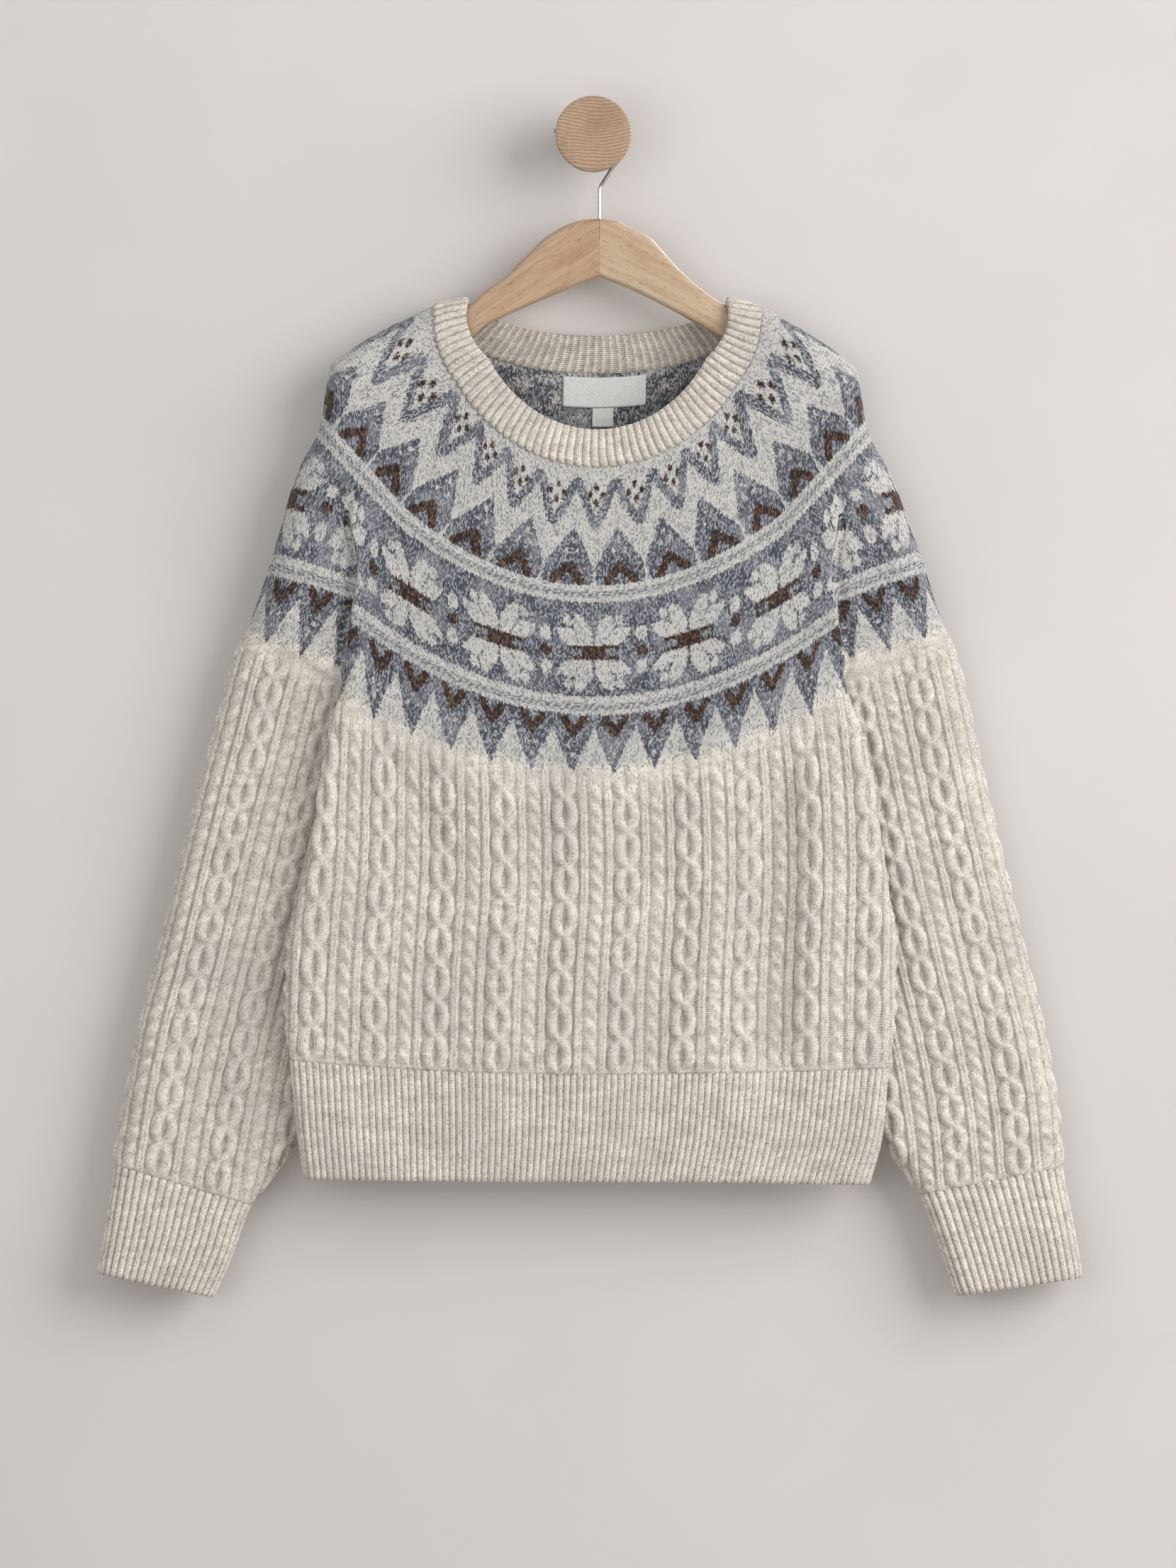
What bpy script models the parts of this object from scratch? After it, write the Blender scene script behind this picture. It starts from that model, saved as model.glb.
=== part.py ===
"""A round-yoke knitted jumper with cabled body and sleeves, on a wooden hanger that hangs from a round wall knob.

Sizes are in millimetres and become metres in mesh_object. The origin is the centre of the knob's
back face, on the wall. +X is to the right as seen from the room, +Z is up, and the jumper lies
in front of the wall, at negative Y.

Each cloth panel is a set of rows. A row runs across the panel at one distance down the cloth,
called its run, and is worked out from the table of that panel. Distances along a row, called
across, are measured on the cloth from the panel's centre line or, on a sleeve, from its outer fold.
"""

import math
from functools import lru_cache

import bmesh
import bpy
import numpy as np

MM = 0.001
SEAM_GAP = 0.3
CLOTH = 3.0
NECKBAND_CLOTH = 4.0
LABEL_CLOTH = 0.8

# Runs, down the cloth from the neck seam.
BAND_TOP = -29.0
NECK = 0.0
UNDERARM = 219.0
YOKE_END = 233.0
BODY_END = 464.0
HEM_END = 550.0
SLEEVE_END = 650.0
CUFF_END = 734.0

# The cable stitch repeat: one open wave cable, a narrow rib, a rope cable and another rib.
REPEAT = 47.4
WAVE_PERIOD = 26.4
WAVE_SWING = 6.6
STRAND_HALF = 4.4
WAVE_HEIGHT = 2.6
ROPE_HALF = 5.6
ROPE_HEIGHT = 1.9
RIB_AT = 14.0
RIB_HALF = 2.2
RIB_HEIGHT = 1.3
CABLE_FADE = 12.0
SLEEVE_WAVE = -40.0
YOKE_RUNS = (20, 42, 60, 78, 97, 125, 153, 182, 205, 219)

HEM_RIBS = 174
CUFF_RIBS = 40
NECK_RIBS = 106
EDGE_RIB_HEIGHT = 1.2

ROW_SAMPLES = 90
CHORD_ERROR = 0.2
LONGEST_STEP = 22.0
RAGLAN_ARC = 58.0

PANEL_COLUMNS = (
    "run",
    "left_x",
    "left_z",
    "right_x",
    "right_z",
    "middle_z",
    "middle_y",
    "strip_y",
    "end_y",
    "arc",
    "fold",
    "ramp_x",
)

# The front, from the top of the neckband to the bottom of the hem. left and right are its two
# ends, middle its centre. strip_y is the depth beside the ends, end_y the depth at them. arc is the
# part of a circle that the row bends through, and fold is 1 where the end is a folded edge.
FRONT = (
    (-29, -80.6, -170.5, 86.6, -170.5, -225.6, -47, -44, -44, 58, 0, 60),
    (0, -105, -189.5, 110.4, -189.5, -254.4, -51, -46, -46, 58, 0, 80),
    (60, -133, -250, 136, -254, -313.5, -53, -49, -49, 34, 0, 110),
    (97, -146, -292, 146, -296, -351, -55, -51, -51, 22, 0, 120),
    (150, -167, -342, 168, -346, -404.5, -57, -54, -54, 16, 0, 135),
    (182, -177, -370, 179, -373, -436.8, -58, -55, -55, 14, 0, 145),
    (205, -185, -395, 186, -393, -460, -59, -56, -53, 12, 0.2, 150),
    (219, -190, -414, 189, -407, -473.5, -59.5, -59.5, -51, 12, 0.9, 150),
    (233, -194, -431, 194, -427, -487.8, -60, -60, -53, 10, 1, 150),
    (272, -204, -480, 208, -478, -527, -60, -60, -53, 10, 1, 150),
    (326, -214, -545, 219, -543, -581, -60.5, -60.5, -53, 8, 1, 155),
    (361, -225, -587, 226, -586, -616, -61, -61, -53, 8, 1, 160),
    (390, -232.5, -623, 230, -621, -645, -61, -61, -53, 8, 1, 170),
    (425, -234.6, -665, 230, -664, -680, -61, -61, -53, 8, 1, 180),
    (464, -231, -708, 224.5, -714, -718.8, -60, -60, -52, 8, 1, 190),
    (510, -226, -758, 220, -764, -762, -58, -58, -48, 8, 1, 200),
    (550, -220, -799, 210, -803.5, -801, -56, -56, -44, 8, 1, 200),
)

# The back. Its ends stay level with the front's, and its rows are higher in the yoke.
BACK = (
    (-29, -80.6, -137.6, 86.6, -137.6, -152.8, -11, -14, -14, 58, 0, 60),
    (0, -105, -156.8, 110.4, -156.8, -181.8, -9, -13, -13, 58, 0, 80),
    (60, -133, -215, 136, -219, -245, -8, -12, -12, 34, 0, 105),
    (97, -146, -258, 146, -262, -283, -8, -12, -12, 22, 0, 115),
    (150, -167, -318, 168, -322, -340, -8, -14, -14, 16, 0, 135),
    (182, -177, -352, 179, -355, -374, -8, -21, -21, 14, 0, 142),
    (205, -185, -387, 186, -385, -399, -8, -33, -33, 12, 0.2, 140),
    (219, -190, -414, 189, -407, -413, -8, -45, -51, 12, 0.9, 136),
    (233, -194, -431, 194, -427, -428, -8, -46, -53, 10, 1, 132),
    (272, -204, -480, 208, -478, -478, -8, -46, -53, 10, 1, 128),
    (326, -214, -545, 219, -543, -545, -8, -46, -53, 8, 1, 128),
    (361, -225, -587, 226, -586, -588, -8, -46, -53, 8, 1, 134),
    (390, -232.5, -623, 230, -621, -624, -8, -46, -53, 8, 1, 144),
    (425, -234.6, -665, 230, -664, -666, -8, -46, -53, 8, 1, 158),
    (464, -231, -708, 224.5, -714, -712, -8.5, -45, -52, 8, 1, 172),
    (510, -226, -758, 220, -764, -758, -10, -38, -48, 8, 1, 176),
    (550, -220, -799, 210, -803.5, -800, -12, -32, -44, 8, 1, 170),
)

SLEEVE_COLUMNS = (
    "run",
    "outer_x",
    "outer_z",
    "inner_x",
    "inner_z",
    "outer_y",
    "front_y",
    "back_y",
    "inner_y",
    "crease",
    "closed",
    "bow",
    "turn",
)

# A sleeve from the neckband to the end of the cuff. outer is its outer fold, and inner the seam
# under the arm, which counts from the underarm down. crease is where the front steps back beside
# the body, as a share of the row. closed is 1 where the sleeve is a whole tube. bow is how far the
# row curves away from the neck, and turn the radius of the outer fold.
LEFT_SLEEVE = (
    (-29, -96, -124.5, 0, 0, -30, -44, -16, 0, 0.5, 0, 7, 16),
    (0, -122, -130.5, 0, 0, -30, -45, -15, 0, 0.5, 0, 6, 18),
    (20, -142.6, -140, 0, 0, -30, -46, -14, 0, 0.5, 0, 4, 19),
    (40, -170, -154, 0, 0, -30, -47, -13, 0, 0.5, 0, 3, 20),
    (52, -188, -166, 0, 0, -30, -48, -12, 0, 0.5, 0, 2, 20),
    (62, -201, -176, 0, 0, -30, -48.5, -12, 0, 0.5, 0, 1, 20),
    (75, -204.5, -192, 0, 0, -30, -49, -11, 0, 0.5, 0, 0, 22),
    (97, -209, -222.5, 0, 0, -29, -50, -9, 0, 0.5, 0, 0, 24),
    (125, -226, -256, 0, 0, -28, -48.5, -8, 0, 0.57, 0, 0, 24),
    (150, -237, -290, 0, 0, -27, -46.5, -7, 0, 0.78, 0, 0, 24),
    (182, -248, -330, 0, 0, -26, -46.5, -6, 0, 0.86, 0, 0, 24),
    (205, -257, -356, 0, 0, -25, -46, -6, 0, 0.92, 0.1, 0, 24),
    (219, -262, -370, -191.5, -413.2, -24.5, -44, -6, -51, 0.96, 0.5, 0, 24),
    (233, -268, -384, -182, -428, -24, -41, -6, -38, 1, 0.9, 0, 24),
    (262, -277, -412, -172, -452, -23, -39.5, -6, -28, 1, 1, 0, 24),
    (300, -286.5, -449, -165, -490, -22.5, -39, -6, -24, 1, 1, 0, 24),
    (355, -301, -503, -164, -545, -22.5, -39, -6, -23, 1, 1, 0, 24),
    (462, -327, -608, -181, -646, -22.5, -39, -6, -22.5, 1, 1, 0, 24),
    (547, -347.5, -691, -205, -726, -23, -39, -7, -23, 1, 1, 0, 22),
    (605, -359, -747, -235, -779, -25, -40, -10, -25, 1, 1, 0, 20),
    (650, -366, -788.5, -263, -819, -26, -40, -12, -26, 1, 1, 0, 18),
    (700, -373, -838, -279, -861, -27, -41, -13, -27, 1, 1, 0, 17),
    (734, -379, -872, -292, -890, -28, -41, -15, -28, 1, 1, 0, 16),
)
RIGHT_SLEEVE = (
    (-29, 102, -124.5, 0, 0, -30, -44, -16, 0, 0.5, 0, 7, 16),
    (0, 128, -131, 0, 0, -30, -45, -15, 0, 0.5, 0, 6, 18),
    (20, 148, -142, 0, 0, -30, -46, -14, 0, 0.5, 0, 4, 19),
    (40, 174, -157.5, 0, 0, -30, -47, -13, 0, 0.5, 0, 3, 20),
    (52, 191, -170, 0, 0, -30, -48, -12, 0, 0.5, 0, 2, 20),
    (62, 202, -181, 0, 0, -30, -48.5, -12, 0, 0.5, 0, 1, 20),
    (75, 205, -197, 0, 0, -30, -49, -11, 0, 0.5, 0, 0, 22),
    (97, 210, -226, 0, 0, -29, -50, -9, 0, 0.5, 0, 0, 24),
    (125, 227, -258, 0, 0, -28, -48.5, -8, 0, 0.57, 0, 0, 24),
    (150, 240, -291, 0, 0, -27, -46.5, -7, 0, 0.78, 0, 0, 24),
    (182, 253, -328, 0, 0, -26, -46.5, -6, 0, 0.86, 0, 0, 24),
    (205, 261, -354, 0, 0, -25, -46, -6, 0, 0.92, 0.1, 0, 24),
    (219, 266, -368, 190.5, -406.2, -24.5, -44, -6, -51, 0.96, 0.5, 0, 24),
    (233, 271.5, -382, 182, -424, -24, -41, -6, -38, 1, 0.9, 0, 24),
    (262, 279.5, -410, 172, -450, -23, -39.5, -6, -28, 1, 1, 0, 24),
    (300, 288, -448, 165, -488, -22.5, -39, -6, -24, 1, 1, 0, 24),
    (355, 300, -503, 163, -543, -22.5, -39, -6, -23, 1, 1, 0, 24),
    (462, 325, -608, 178, -645, -22.5, -39, -6, -22.5, 1, 1, 0, 24),
    (547, 345, -692, 203, -726, -23, -39, -7, -23, 1, 1, 0, 22),
    (605, 354.5, -749, 229, -776, -25, -40, -10, -25, 1, 1, 0, 20),
    (650, 358.6, -790, 251, -811, -26, -40, -12, -26, 1, 1, 0, 18),
    (700, 368, -840, 268, -856, -27, -41, -13, -27, 1, 1, 0, 17),
    (734, 374, -875, 279, -889, -28, -41, -15, -28, 1, 1, 0, 16),
)

# Soft upright folds in the body: where each lies, how wide and deep it is, where its middle is in
# height, how long it is, and how far it leans.
FOLD_COLUMNS = ("x", "half_width", "depth", "z", "half_height", "lean")
FRONT_FOLDS = (
    (-142, 30, 3.0, -600, 190, 0.02),
    (-40, 27, 4.0, -590, 230, 0.05),
    (54, 25, 4.5, -610, 240, 0.03),
    (138, 24, 3.5, -600, 200, -0.04),
)
BACK_FOLDS = (
    (-96, 26, 4.0, -600, 210, -0.04),
    (-8, 30, 5.0, -570, 260, 0.02),
    (84, 24, 4.0, -620, 220, 0.04),
)

# The knob, turned round Y: radius and depth of each point of its outline.
KNOB_OUTLINE = (
    (16, 0),
    (16, -34),
    (18, -37),
    (26.5, -38.5),
    (28.4, -40),
    (29, -42.5),
    (29, -54.6),
    (28.6, -55.6),
    (27.6, -56),
)
KNOB_STEM_RADIUS = 16
KNOB_SIDES = 28

# The hook: a wire bent over the knob's stem.
WIRE_RADIUS = 1.5
HANGER_X = 4.8
HANGER_Y = -30.0
HOOK_RADIUS = 23.5
HOOK_FROM = -49
HOOK_TO = 152
HOOK_STEPS = 15
WIRE_SIDES = 8
HOOK_TIP_OUT = 9.8
HOOK_TIP_DOWN = 1.6
HOOK_BEND_Z = -38.0
HOOK_END_Z = -80.0
WIRE_HOLE_RADIUS = 1.8

# The hanger's two wooden arms: distance out from the hanger's middle, then the heights of the top
# and of the lower edge there. Further out the top follows the inside of the band and the shoulder.
LEFT_ARM = (
    (0.15, -63.8, -108.3),
    (12, -64.6, -112.8),
    (26, -69.1, -118.5),
    (40, -77, -124.4),
    (50, -86, -128.6),
    (59, -94.8, -132.4),
    (75, -110.8, -139.6),
    (88, -119.5, -146.5),
)
RIGHT_ARM = (
    (0.15, -63.8, -108.3),
    (12, -65.2, -113.2),
    (21, -69.4, -117),
    (38, -78, -125),
    (49, -89.5, -130.6),
    (60.5, -102.4, -136.8),
    (73, -114, -143.6),
    (86, -124, -151),
)
ARM_UNDER_BAND = (-28.5, 0)
ARM_UNDER_SHOULDER = (20, 42, 57)
HANGER_HALF_THICK = 6.5
HANGER_EDGE = 6.0
ARM_TIP_HEIGHT = 20.0
SHOULDER_SLACK = 0.75
BAND_SLACK = 0.7

# The blank labels sewn inside the back of the neck: middle, half width, top and bottom as runs.
MAIN_LABEL = (6.0, 32.0, 3.0, 25.0)
SIZE_LABEL = (5.0, 8.0, 25.4, 39.0)


def smooth(knots, values, at):
    """A curve through the values that never overshoots them (a monotone cubic)."""
    knots = np.asarray(knots, float)
    values = np.asarray(values, float)
    steps = np.diff(knots)
    slopes = np.diff(values) / steps
    rates = np.zeros(len(knots))
    rates[0] = slopes[0]
    rates[-1] = slopes[-1]
    same_way = slopes[:-1] * slopes[1:] > 0
    weight_a = 2 * steps[1:] + steps[:-1]
    weight_b = steps[1:] + 2 * steps[:-1]
    safe_a = np.where(same_way, slopes[:-1], 1)
    safe_b = np.where(same_way, slopes[1:], 1)
    mean = (weight_a + weight_b) / (weight_a / safe_a + weight_b / safe_b)
    rates[1:-1] = np.where(same_way, mean, 0)
    at = np.clip(np.asarray(at, float), knots[0], knots[-1])
    k = np.clip(np.searchsorted(knots, at, side="right") - 1, 0, len(steps) - 1)
    t = (at - knots[k]) / steps[k]
    return (
        values[k] * (1 + 2 * t) * (1 - t) ** 2
        + values[k + 1] * t * t * (3 - 2 * t)
        + steps[k] * (rates[k] * t * (1 - t) ** 2 - rates[k + 1] * t * t * (1 - t))
    )


class Table:
    """A table whose columns are read, by name, at any run."""

    def __init__(self, columns, rows):
        self.columns = columns
        self.rows = np.array(rows, float)

    def at(self, run):
        keys = self.rows[:, 0]
        return {
            name: float(smooth(keys, self.rows[:, i], run))
            for i, name in enumerate(self.columns)
        }


def step(t):
    """0 before 0, 1 after 1, and smooth between."""
    t = np.clip(t, 0, 1)
    return t * t * (3 - 2 * t)


def quarter(t):
    """A quarter of an ellipse, from 0 with a steep start to 1 with a level end."""
    t = np.clip(t, 0, 1)
    return np.sqrt(np.clip(1 - (1 - t) ** 2, 0, 1))


def spaced(points, zero_at):
    """Distance along a line of points, counted from the point numbered zero_at."""
    gaps = np.linalg.norm(np.diff(points, axis=0), axis=1)
    along = np.concatenate([[0], np.cumsum(gaps)])
    return along - along[zero_at]


def folded(points, folds):
    """Moves points in y into the soft folds. A fold goes inwards."""
    deep = np.zeros(len(points))
    for x, half_width, depth, z, half_height, lean in folds:
        off = (points[:, 0] - x - lean * (points[:, 2] - z)) / half_width
        up = (points[:, 2] - z) / half_height
        deep += depth * np.exp(-(off**2)) * step(1.15 - up**2)
    return deep


class Cloth:
    """A piece of cloth that is worked out row by row. hand is 1 where its rows run rightwards."""

    PROBE = 1.5
    SEAM_BLEND = 2.0

    def __init__(self, columns, rows, hand):
        self.table = Table(columns, rows)
        self.hand = hand
        self.joins = {}

    def join(self, low_above, high_above, low_below, high_below):
        """Names the neighbour at each end of a row, as (cloth, its end), above and below the arm."""
        self.joins = {
            (True, 0): low_above,
            (True, -1): high_above,
            (False, 0): low_below,
            (False, -1): high_below,
        }

    @lru_cache(maxsize=None)
    def own_normals(self, run):
        """The way out of the cloth at each point of the row, from this piece alone."""
        first, last = self.table.rows[0, 0], self.table.rows[-1, 0]
        down = self.points(min(run + self.PROBE, last)) - self.points(max(run - self.PROBE, first))
        normal = np.cross(down, np.gradient(self.points(run), axis=0)) * self.hand
        return normal / np.linalg.norm(normal, axis=1, keepdims=True)

    @lru_cache(maxsize=None)
    def row(self, run):
        """The row's points, the distance across of each, and the way out of the cloth there.

        At a seam the way out is the mean of both pieces, so that their walls end side by side.
        """
        points = self.points(run)
        along = spaced(points, ROW_SAMPLES)
        normals = self.own_normals(run).copy()
        for end in (0, -1):
            other, other_end = self.joins[(run < UNDERARM, end)]
            mean = normals[end] + other.own_normals(run)[other_end]
            mean = mean / np.linalg.norm(mean)
            weight = np.exp(-(((along - along[end]) / self.SEAM_BLEND) ** 2))[:, None]
            normals = normals * (1 - weight) + mean * weight
        normals /= np.linalg.norm(normals, axis=1, keepdims=True)
        return points, along, normals


class Panel(Cloth):
    """The front or the back. Its rows run rightwards. inwards is the way in, in y."""

    EDGE_TURN = 9.0
    RAMP_HALF = 24.0

    def __init__(self, rows, folds, hand, inwards):
        super().__init__(PANEL_COLUMNS, rows, hand)
        self.folds = folds
        self.inwards = inwards

    def ends(self, run):
        row = self.table.at(run)
        left = np.array([row["left_x"], row["end_y"], row["left_z"]])
        right = np.array([row["right_x"], row["end_y"], row["right_z"]])
        return left, right

    @lru_cache(maxsize=None)
    def points(self, run):
        r = self.table.at(run)
        t = np.sin(np.linspace(-1, 1, 2 * ROW_SAMPLES + 1) * math.pi / 2)
        turn = math.radians(r["arc"])
        half = (r["right_x"] - r["left_x"]) / 2
        outward = half * np.sin(turn * t) / math.sin(turn)
        x = (r["left_x"] + r["right_x"]) / 2 + outward
        end_z = np.where(t < 0, r["left_z"], r["right_z"])
        bend = (1 - np.cos(turn * t)) / (1 - math.cos(turn))
        z = r["middle_z"] + (end_z - r["middle_z"]) * bend
        outward = np.abs(outward)
        ramp = step((outward - r["ramp_x"] + self.RAMP_HALF) / (2 * self.RAMP_HALF))
        from_end = (half - outward) / self.EDGE_TURN
        ending = r["fold"] * (1 - quarter(from_end)) + (1 - r["fold"]) * step(t * t * 4 - 3)
        y = r["middle_y"] + (r["strip_y"] - r["middle_y"]) * ramp
        y = y + (r["end_y"] - r["strip_y"]) * ending
        points = np.stack([x, y, z], axis=1)
        points[:, 1] += self.inwards * folded(points, self.folds) * step(from_end / 4)
        return points


class Sleeve(Cloth):
    """A sleeve, from its front seam round the outer fold to its back seam. side is -1 or 1."""

    CREASE_HALF = 5.0
    BACK_CREASE = 0.86
    INNER_TURN = 15.0

    def __init__(self, rows, side, front, back):
        super().__init__(SLEEVE_COLUMNS, rows, side)
        self.side = side
        self.front = front
        self.back = back

    def seam(self, panel, run, row):
        if run >= UNDERARM:
            return np.array([row["inner_x"], row["inner_y"], row["inner_z"]])
        return panel.ends(run)[0 if self.side < 0 else 1]

    def half_row(self, row, seam, flat_y, crease):
        """From the outer fold to one seam."""
        outer = np.array([row["outer_x"], row["outer_y"], row["outer_z"]])
        t = (1 - np.cos(np.linspace(0, 1, ROW_SAMPLES + 1) * math.pi)) / 2
        length = math.hypot(seam[0] - outer[0], seam[2] - outer[2])
        away = np.array([seam[2] - outer[2], outer[0] - seam[0]]) / length
        away = away * np.sign(away[0] * self.side)
        bow = row["bow"] * 4 * t * (1 - t)
        x = outer[0] + (seam[0] - outer[0]) * t + away[0] * bow
        z = outer[2] + (seam[2] - outer[2]) * t + away[1] * bow
        opened = step(((t - crease) * length + self.CREASE_HALF) / (2 * self.CREASE_HALF))
        opened = opened / opened[-1]
        closed = 1 - quarter((1 - t) * length / self.INNER_TURN)
        ending = (1 - row["closed"]) * opened + row["closed"] * closed
        y = outer[1] + (flat_y - outer[1]) * quarter(t * length / row["turn"])
        y = y + (seam[1] - flat_y) * ending
        return np.stack([x, y, z], axis=1)

    @lru_cache(maxsize=None)
    def points(self, run):
        r = self.table.at(run)
        front = self.half_row(r, self.seam(self.front, run, r), r["front_y"], r["crease"])
        back = self.half_row(r, self.seam(self.back, run, r), r["back_y"], self.BACK_CREASE)
        return np.concatenate([front[::-1], back[1:]])


class Ring:
    """A closed band of cloth, made of the rows of pieces that follow each other round it."""

    def __init__(self, parts):
        self.parts = parts

    @lru_cache(maxsize=None)
    def row(self, run):
        lines = [(cloth.row(run), 1 if forward else -1) for cloth, forward in self.parts]
        points, normals = (
            np.concatenate([row[i][::way][:-1] for row, way in lines] + [lines[0][0][i][:: lines[0][1]][:1]])
            for i in (0, 2)
        )
        return points, spaced(points, 0), normals


def place(cloth, run, across, lift):
    """Points at one run and several distances across, each lifted out of the cloth."""
    points, along, normals = cloth.row(float(run))
    at = np.stack([np.interp(across, along, points[:, i]) for i in range(3)], axis=1)
    out = np.stack([np.interp(across, along, normals[:, i]) for i in range(3)], axis=1)
    return at + out * np.broadcast_to(lift, len(at))[:, None]


def limits(cloth, run):
    along = cloth.row(float(run))[1]
    return along[0], along[-1]


def sparse(cloth, run, low, high, longest=LONGEST_STEP):
    """Distances across a row that keep straight lines between them close to the cloth."""
    at = np.linspace(low, high, 4 * ROW_SAMPLES)
    line = place(cloth, run, at, 0)
    kept = [0]
    while kept[-1] < len(at) - 1:
        start = kept[-1]
        stop = start + 1
        while stop + 1 < len(at) and at[stop + 1] - at[start] <= longest:
            chord = line[stop + 1] - line[start]
            chord = chord / np.linalg.norm(chord)
            off = line[start : stop + 1] - line[start]
            off = off - np.outer(off @ chord, chord)
            if np.max(np.sum(off**2, axis=1)) > CHORD_ERROR**2:
                break
            stop += 1
        kept.append(stop)
    return at[kept]


def ridge(off, half):
    """A rounded ridge, 1 at its top and 0 past half its width."""
    return np.sqrt(np.clip(1 - (off / half) ** 2, 0, 1))


def cable_relief(across, run, wave_at, end_run):
    """How far the cables stand out of the cloth. One wave cable is centred at wave_at."""
    off = (across - wave_at + REPEAT / 2) % REPEAT - REPEAT / 2
    phase = math.pi * (end_run - run) / WAVE_PERIOD
    swing = WAVE_SWING * abs(math.sin(phase))
    strands = np.maximum(ridge(off - swing, STRAND_HALF), ridge(off + swing, STRAND_HALF))
    rib = ridge(np.abs(off) - RIB_AT, RIB_HALF)
    rope = ridge(REPEAT / 2 - np.abs(off), ROPE_HALF)
    high = np.maximum(WAVE_HEIGHT * strands, np.maximum(RIB_HEIGHT * rib, ROPE_HEIGHT * rope))
    fade = step((run - YOKE_END) / CABLE_FADE) * step((end_run - run) / 3)
    return high * fade


class Wall:
    """The points and faces of one solid cloth wall while it is made."""

    def __init__(self):
        self.points = []
        self.faces = []

    def chain(self, points, keys):
        """Adds a line of points. Returns (number, key) pairs, which strip joins by their keys."""
        first = len(self.points)
        self.points.extend(np.asarray(points, float).tolist())
        return [(first + i, float(k)) for i, k in enumerate(keys)]

    def strip(self, a, b):
        """Fills the space between two chains with triangles."""
        i = j = 0
        while i < len(a) - 1 or j < len(b) - 1:
            if j == len(b) - 1:
                use_a = True
            elif i == len(a) - 1:
                use_a = False
            else:
                use_a = a[i][1] + a[i + 1][1] <= b[j][1] + b[j + 1][1]
            if use_a:
                self.faces.append((a[i][0], a[i + 1][0], b[j][0]))
                i += 1
            else:
                self.faces.append((a[i][0], b[j + 1][0], b[j][0]))
                j += 1

    def strips(self, chains):
        for a, b in zip(chains, chains[1:]):
            self.strip(a, b)


def shares(chain):
    """The same chain with keys from 0 to 1."""
    first = chain[0][1]
    span = chain[-1][1] - first
    return [(number, (key - first) / span) for number, key in chain]


class Sheet:
    """What a panel's wall is made from."""

    def __init__(self, cloth, top, bottom, relief):
        self.cloth = cloth
        self.top = top + SEAM_GAP / 2
        self.bottom = bottom - SEAM_GAP / 2
        self.relief = relief

    def span(self, run):
        """The two ends of a row, half a seam gap short of the seams."""
        low, high = limits(self.cloth, run)
        return low + SEAM_GAP / 2, high - SEAM_GAP / 2

    def outer(self, run, across):
        across = np.asarray(across, float)
        return place(self.cloth, run, across, self.relief(across, run))


def sheet_wall(sheet, yoke_runs, columns, inner_runs):
    """A panel's wall: a plain yoke over cabled columns, and a plain inside.

    columns are (across, runs) pairs in order over the row, where across is a function of the run.
    """
    wall = Wall()
    rows = []
    for run in yoke_runs:
        across = sparse(sheet.cloth, run, *sheet.span(run))
        rows.append(wall.chain(sheet.outer(run, across), across))
    wall.strips(rows)
    lines = []
    for across, runs in columns:
        lines.append(wall.chain([sheet.outer(run, [across(run)])[0] for run in runs], runs))
    wall.strips(lines)
    inner = []
    for run in inner_runs:
        across = sparse(sheet.cloth, run, *sheet.span(run))
        inner.append(wall.chain(place(sheet.cloth, run, across, -CLOTH), across))
    wall.strips(inner)
    head, foot = (
        [(line[end][0], across(line[end][1])) for line, (across, _) in zip(lines, columns)]
        for end in (0, -1)
    )
    wall.strip(shares(rows[-1]), shares(head))
    wall.strip(shares(foot), shares(inner[-1]))
    wall.strip(shares(rows[0]), shares(inner[0]))
    for end, line in ((0, lines[0]), (-1, lines[-1])):
        outside = [(row[end][0], run) for row, run in zip(rows, yoke_runs)] + line
        inside = [(row[end][0], run) for row, run in zip(inner, inner_runs)]
        wall.strip(outside, inside)
    return wall


def ring_wall(ring, runs, ribs, cloth):
    """A ribbed band: every rib is a ridge in the outer points, over a plain inside."""
    wall = Wall()
    outer = []
    inner = []
    raised = EDGE_RIB_HEIGHT * (np.arange(2 * ribs) % 2)
    for run in (runs[0] + SEAM_GAP / 2, *runs[1:-1], runs[-1] - SEAM_GAP / 2):
        length = limits(ring, run)[1]
        ribbed = np.arange(2 * ribs) / (2 * ribs) * length
        plain = sparse(ring, run, 0, length)[:-1]
        for chains, across, lift in ((outer, ribbed, raised), (inner, plain, -cloth)):
            chain = wall.chain(place(ring, run, across, lift), across / length)
            chains.append([*chain, (chain[0][0], 1.0)])
    wall.strips(outer)
    wall.strips(inner)
    wall.strip(outer[0], inner[0])
    wall.strip(outer[-1], inner[-1])
    return wall


def mesh_object(name, points, faces, material, smooth_shading=True):
    """A closed solid from points in millimetres."""
    mesh = bpy.data.meshes.new(name)
    shape = bmesh.new()
    corners = [shape.verts.new([c * MM for c in p]) for p in points]
    for face in faces:
        shape.faces.new([corners[i] for i in face])
    bmesh.ops.recalc_face_normals(shape, faces=shape.faces)
    shape.to_mesh(mesh)
    shape.free()
    mesh.materials.append(material)
    if smooth_shading:
        mesh.shade_smooth()
        mesh.set_sharp_from_angle(angle=math.radians(50))
    thing = bpy.data.objects.new(name, mesh)
    bpy.context.scene.collection.objects.link(thing)
    return thing


def cloth_object(name, wall, material):
    return mesh_object(name, wall.points, wall.faces, material)


def material(name, colour, roughness, metallic=0.0):
    made = bpy.data.materials.new(name)
    made.use_nodes = True
    shader = made.node_tree.nodes["Principled BSDF"]
    shader.inputs["Base Color"].default_value = (*colour, 1)
    shader.inputs["Roughness"].default_value = roughness
    shader.inputs["Metallic"].default_value = metallic
    return made


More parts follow.
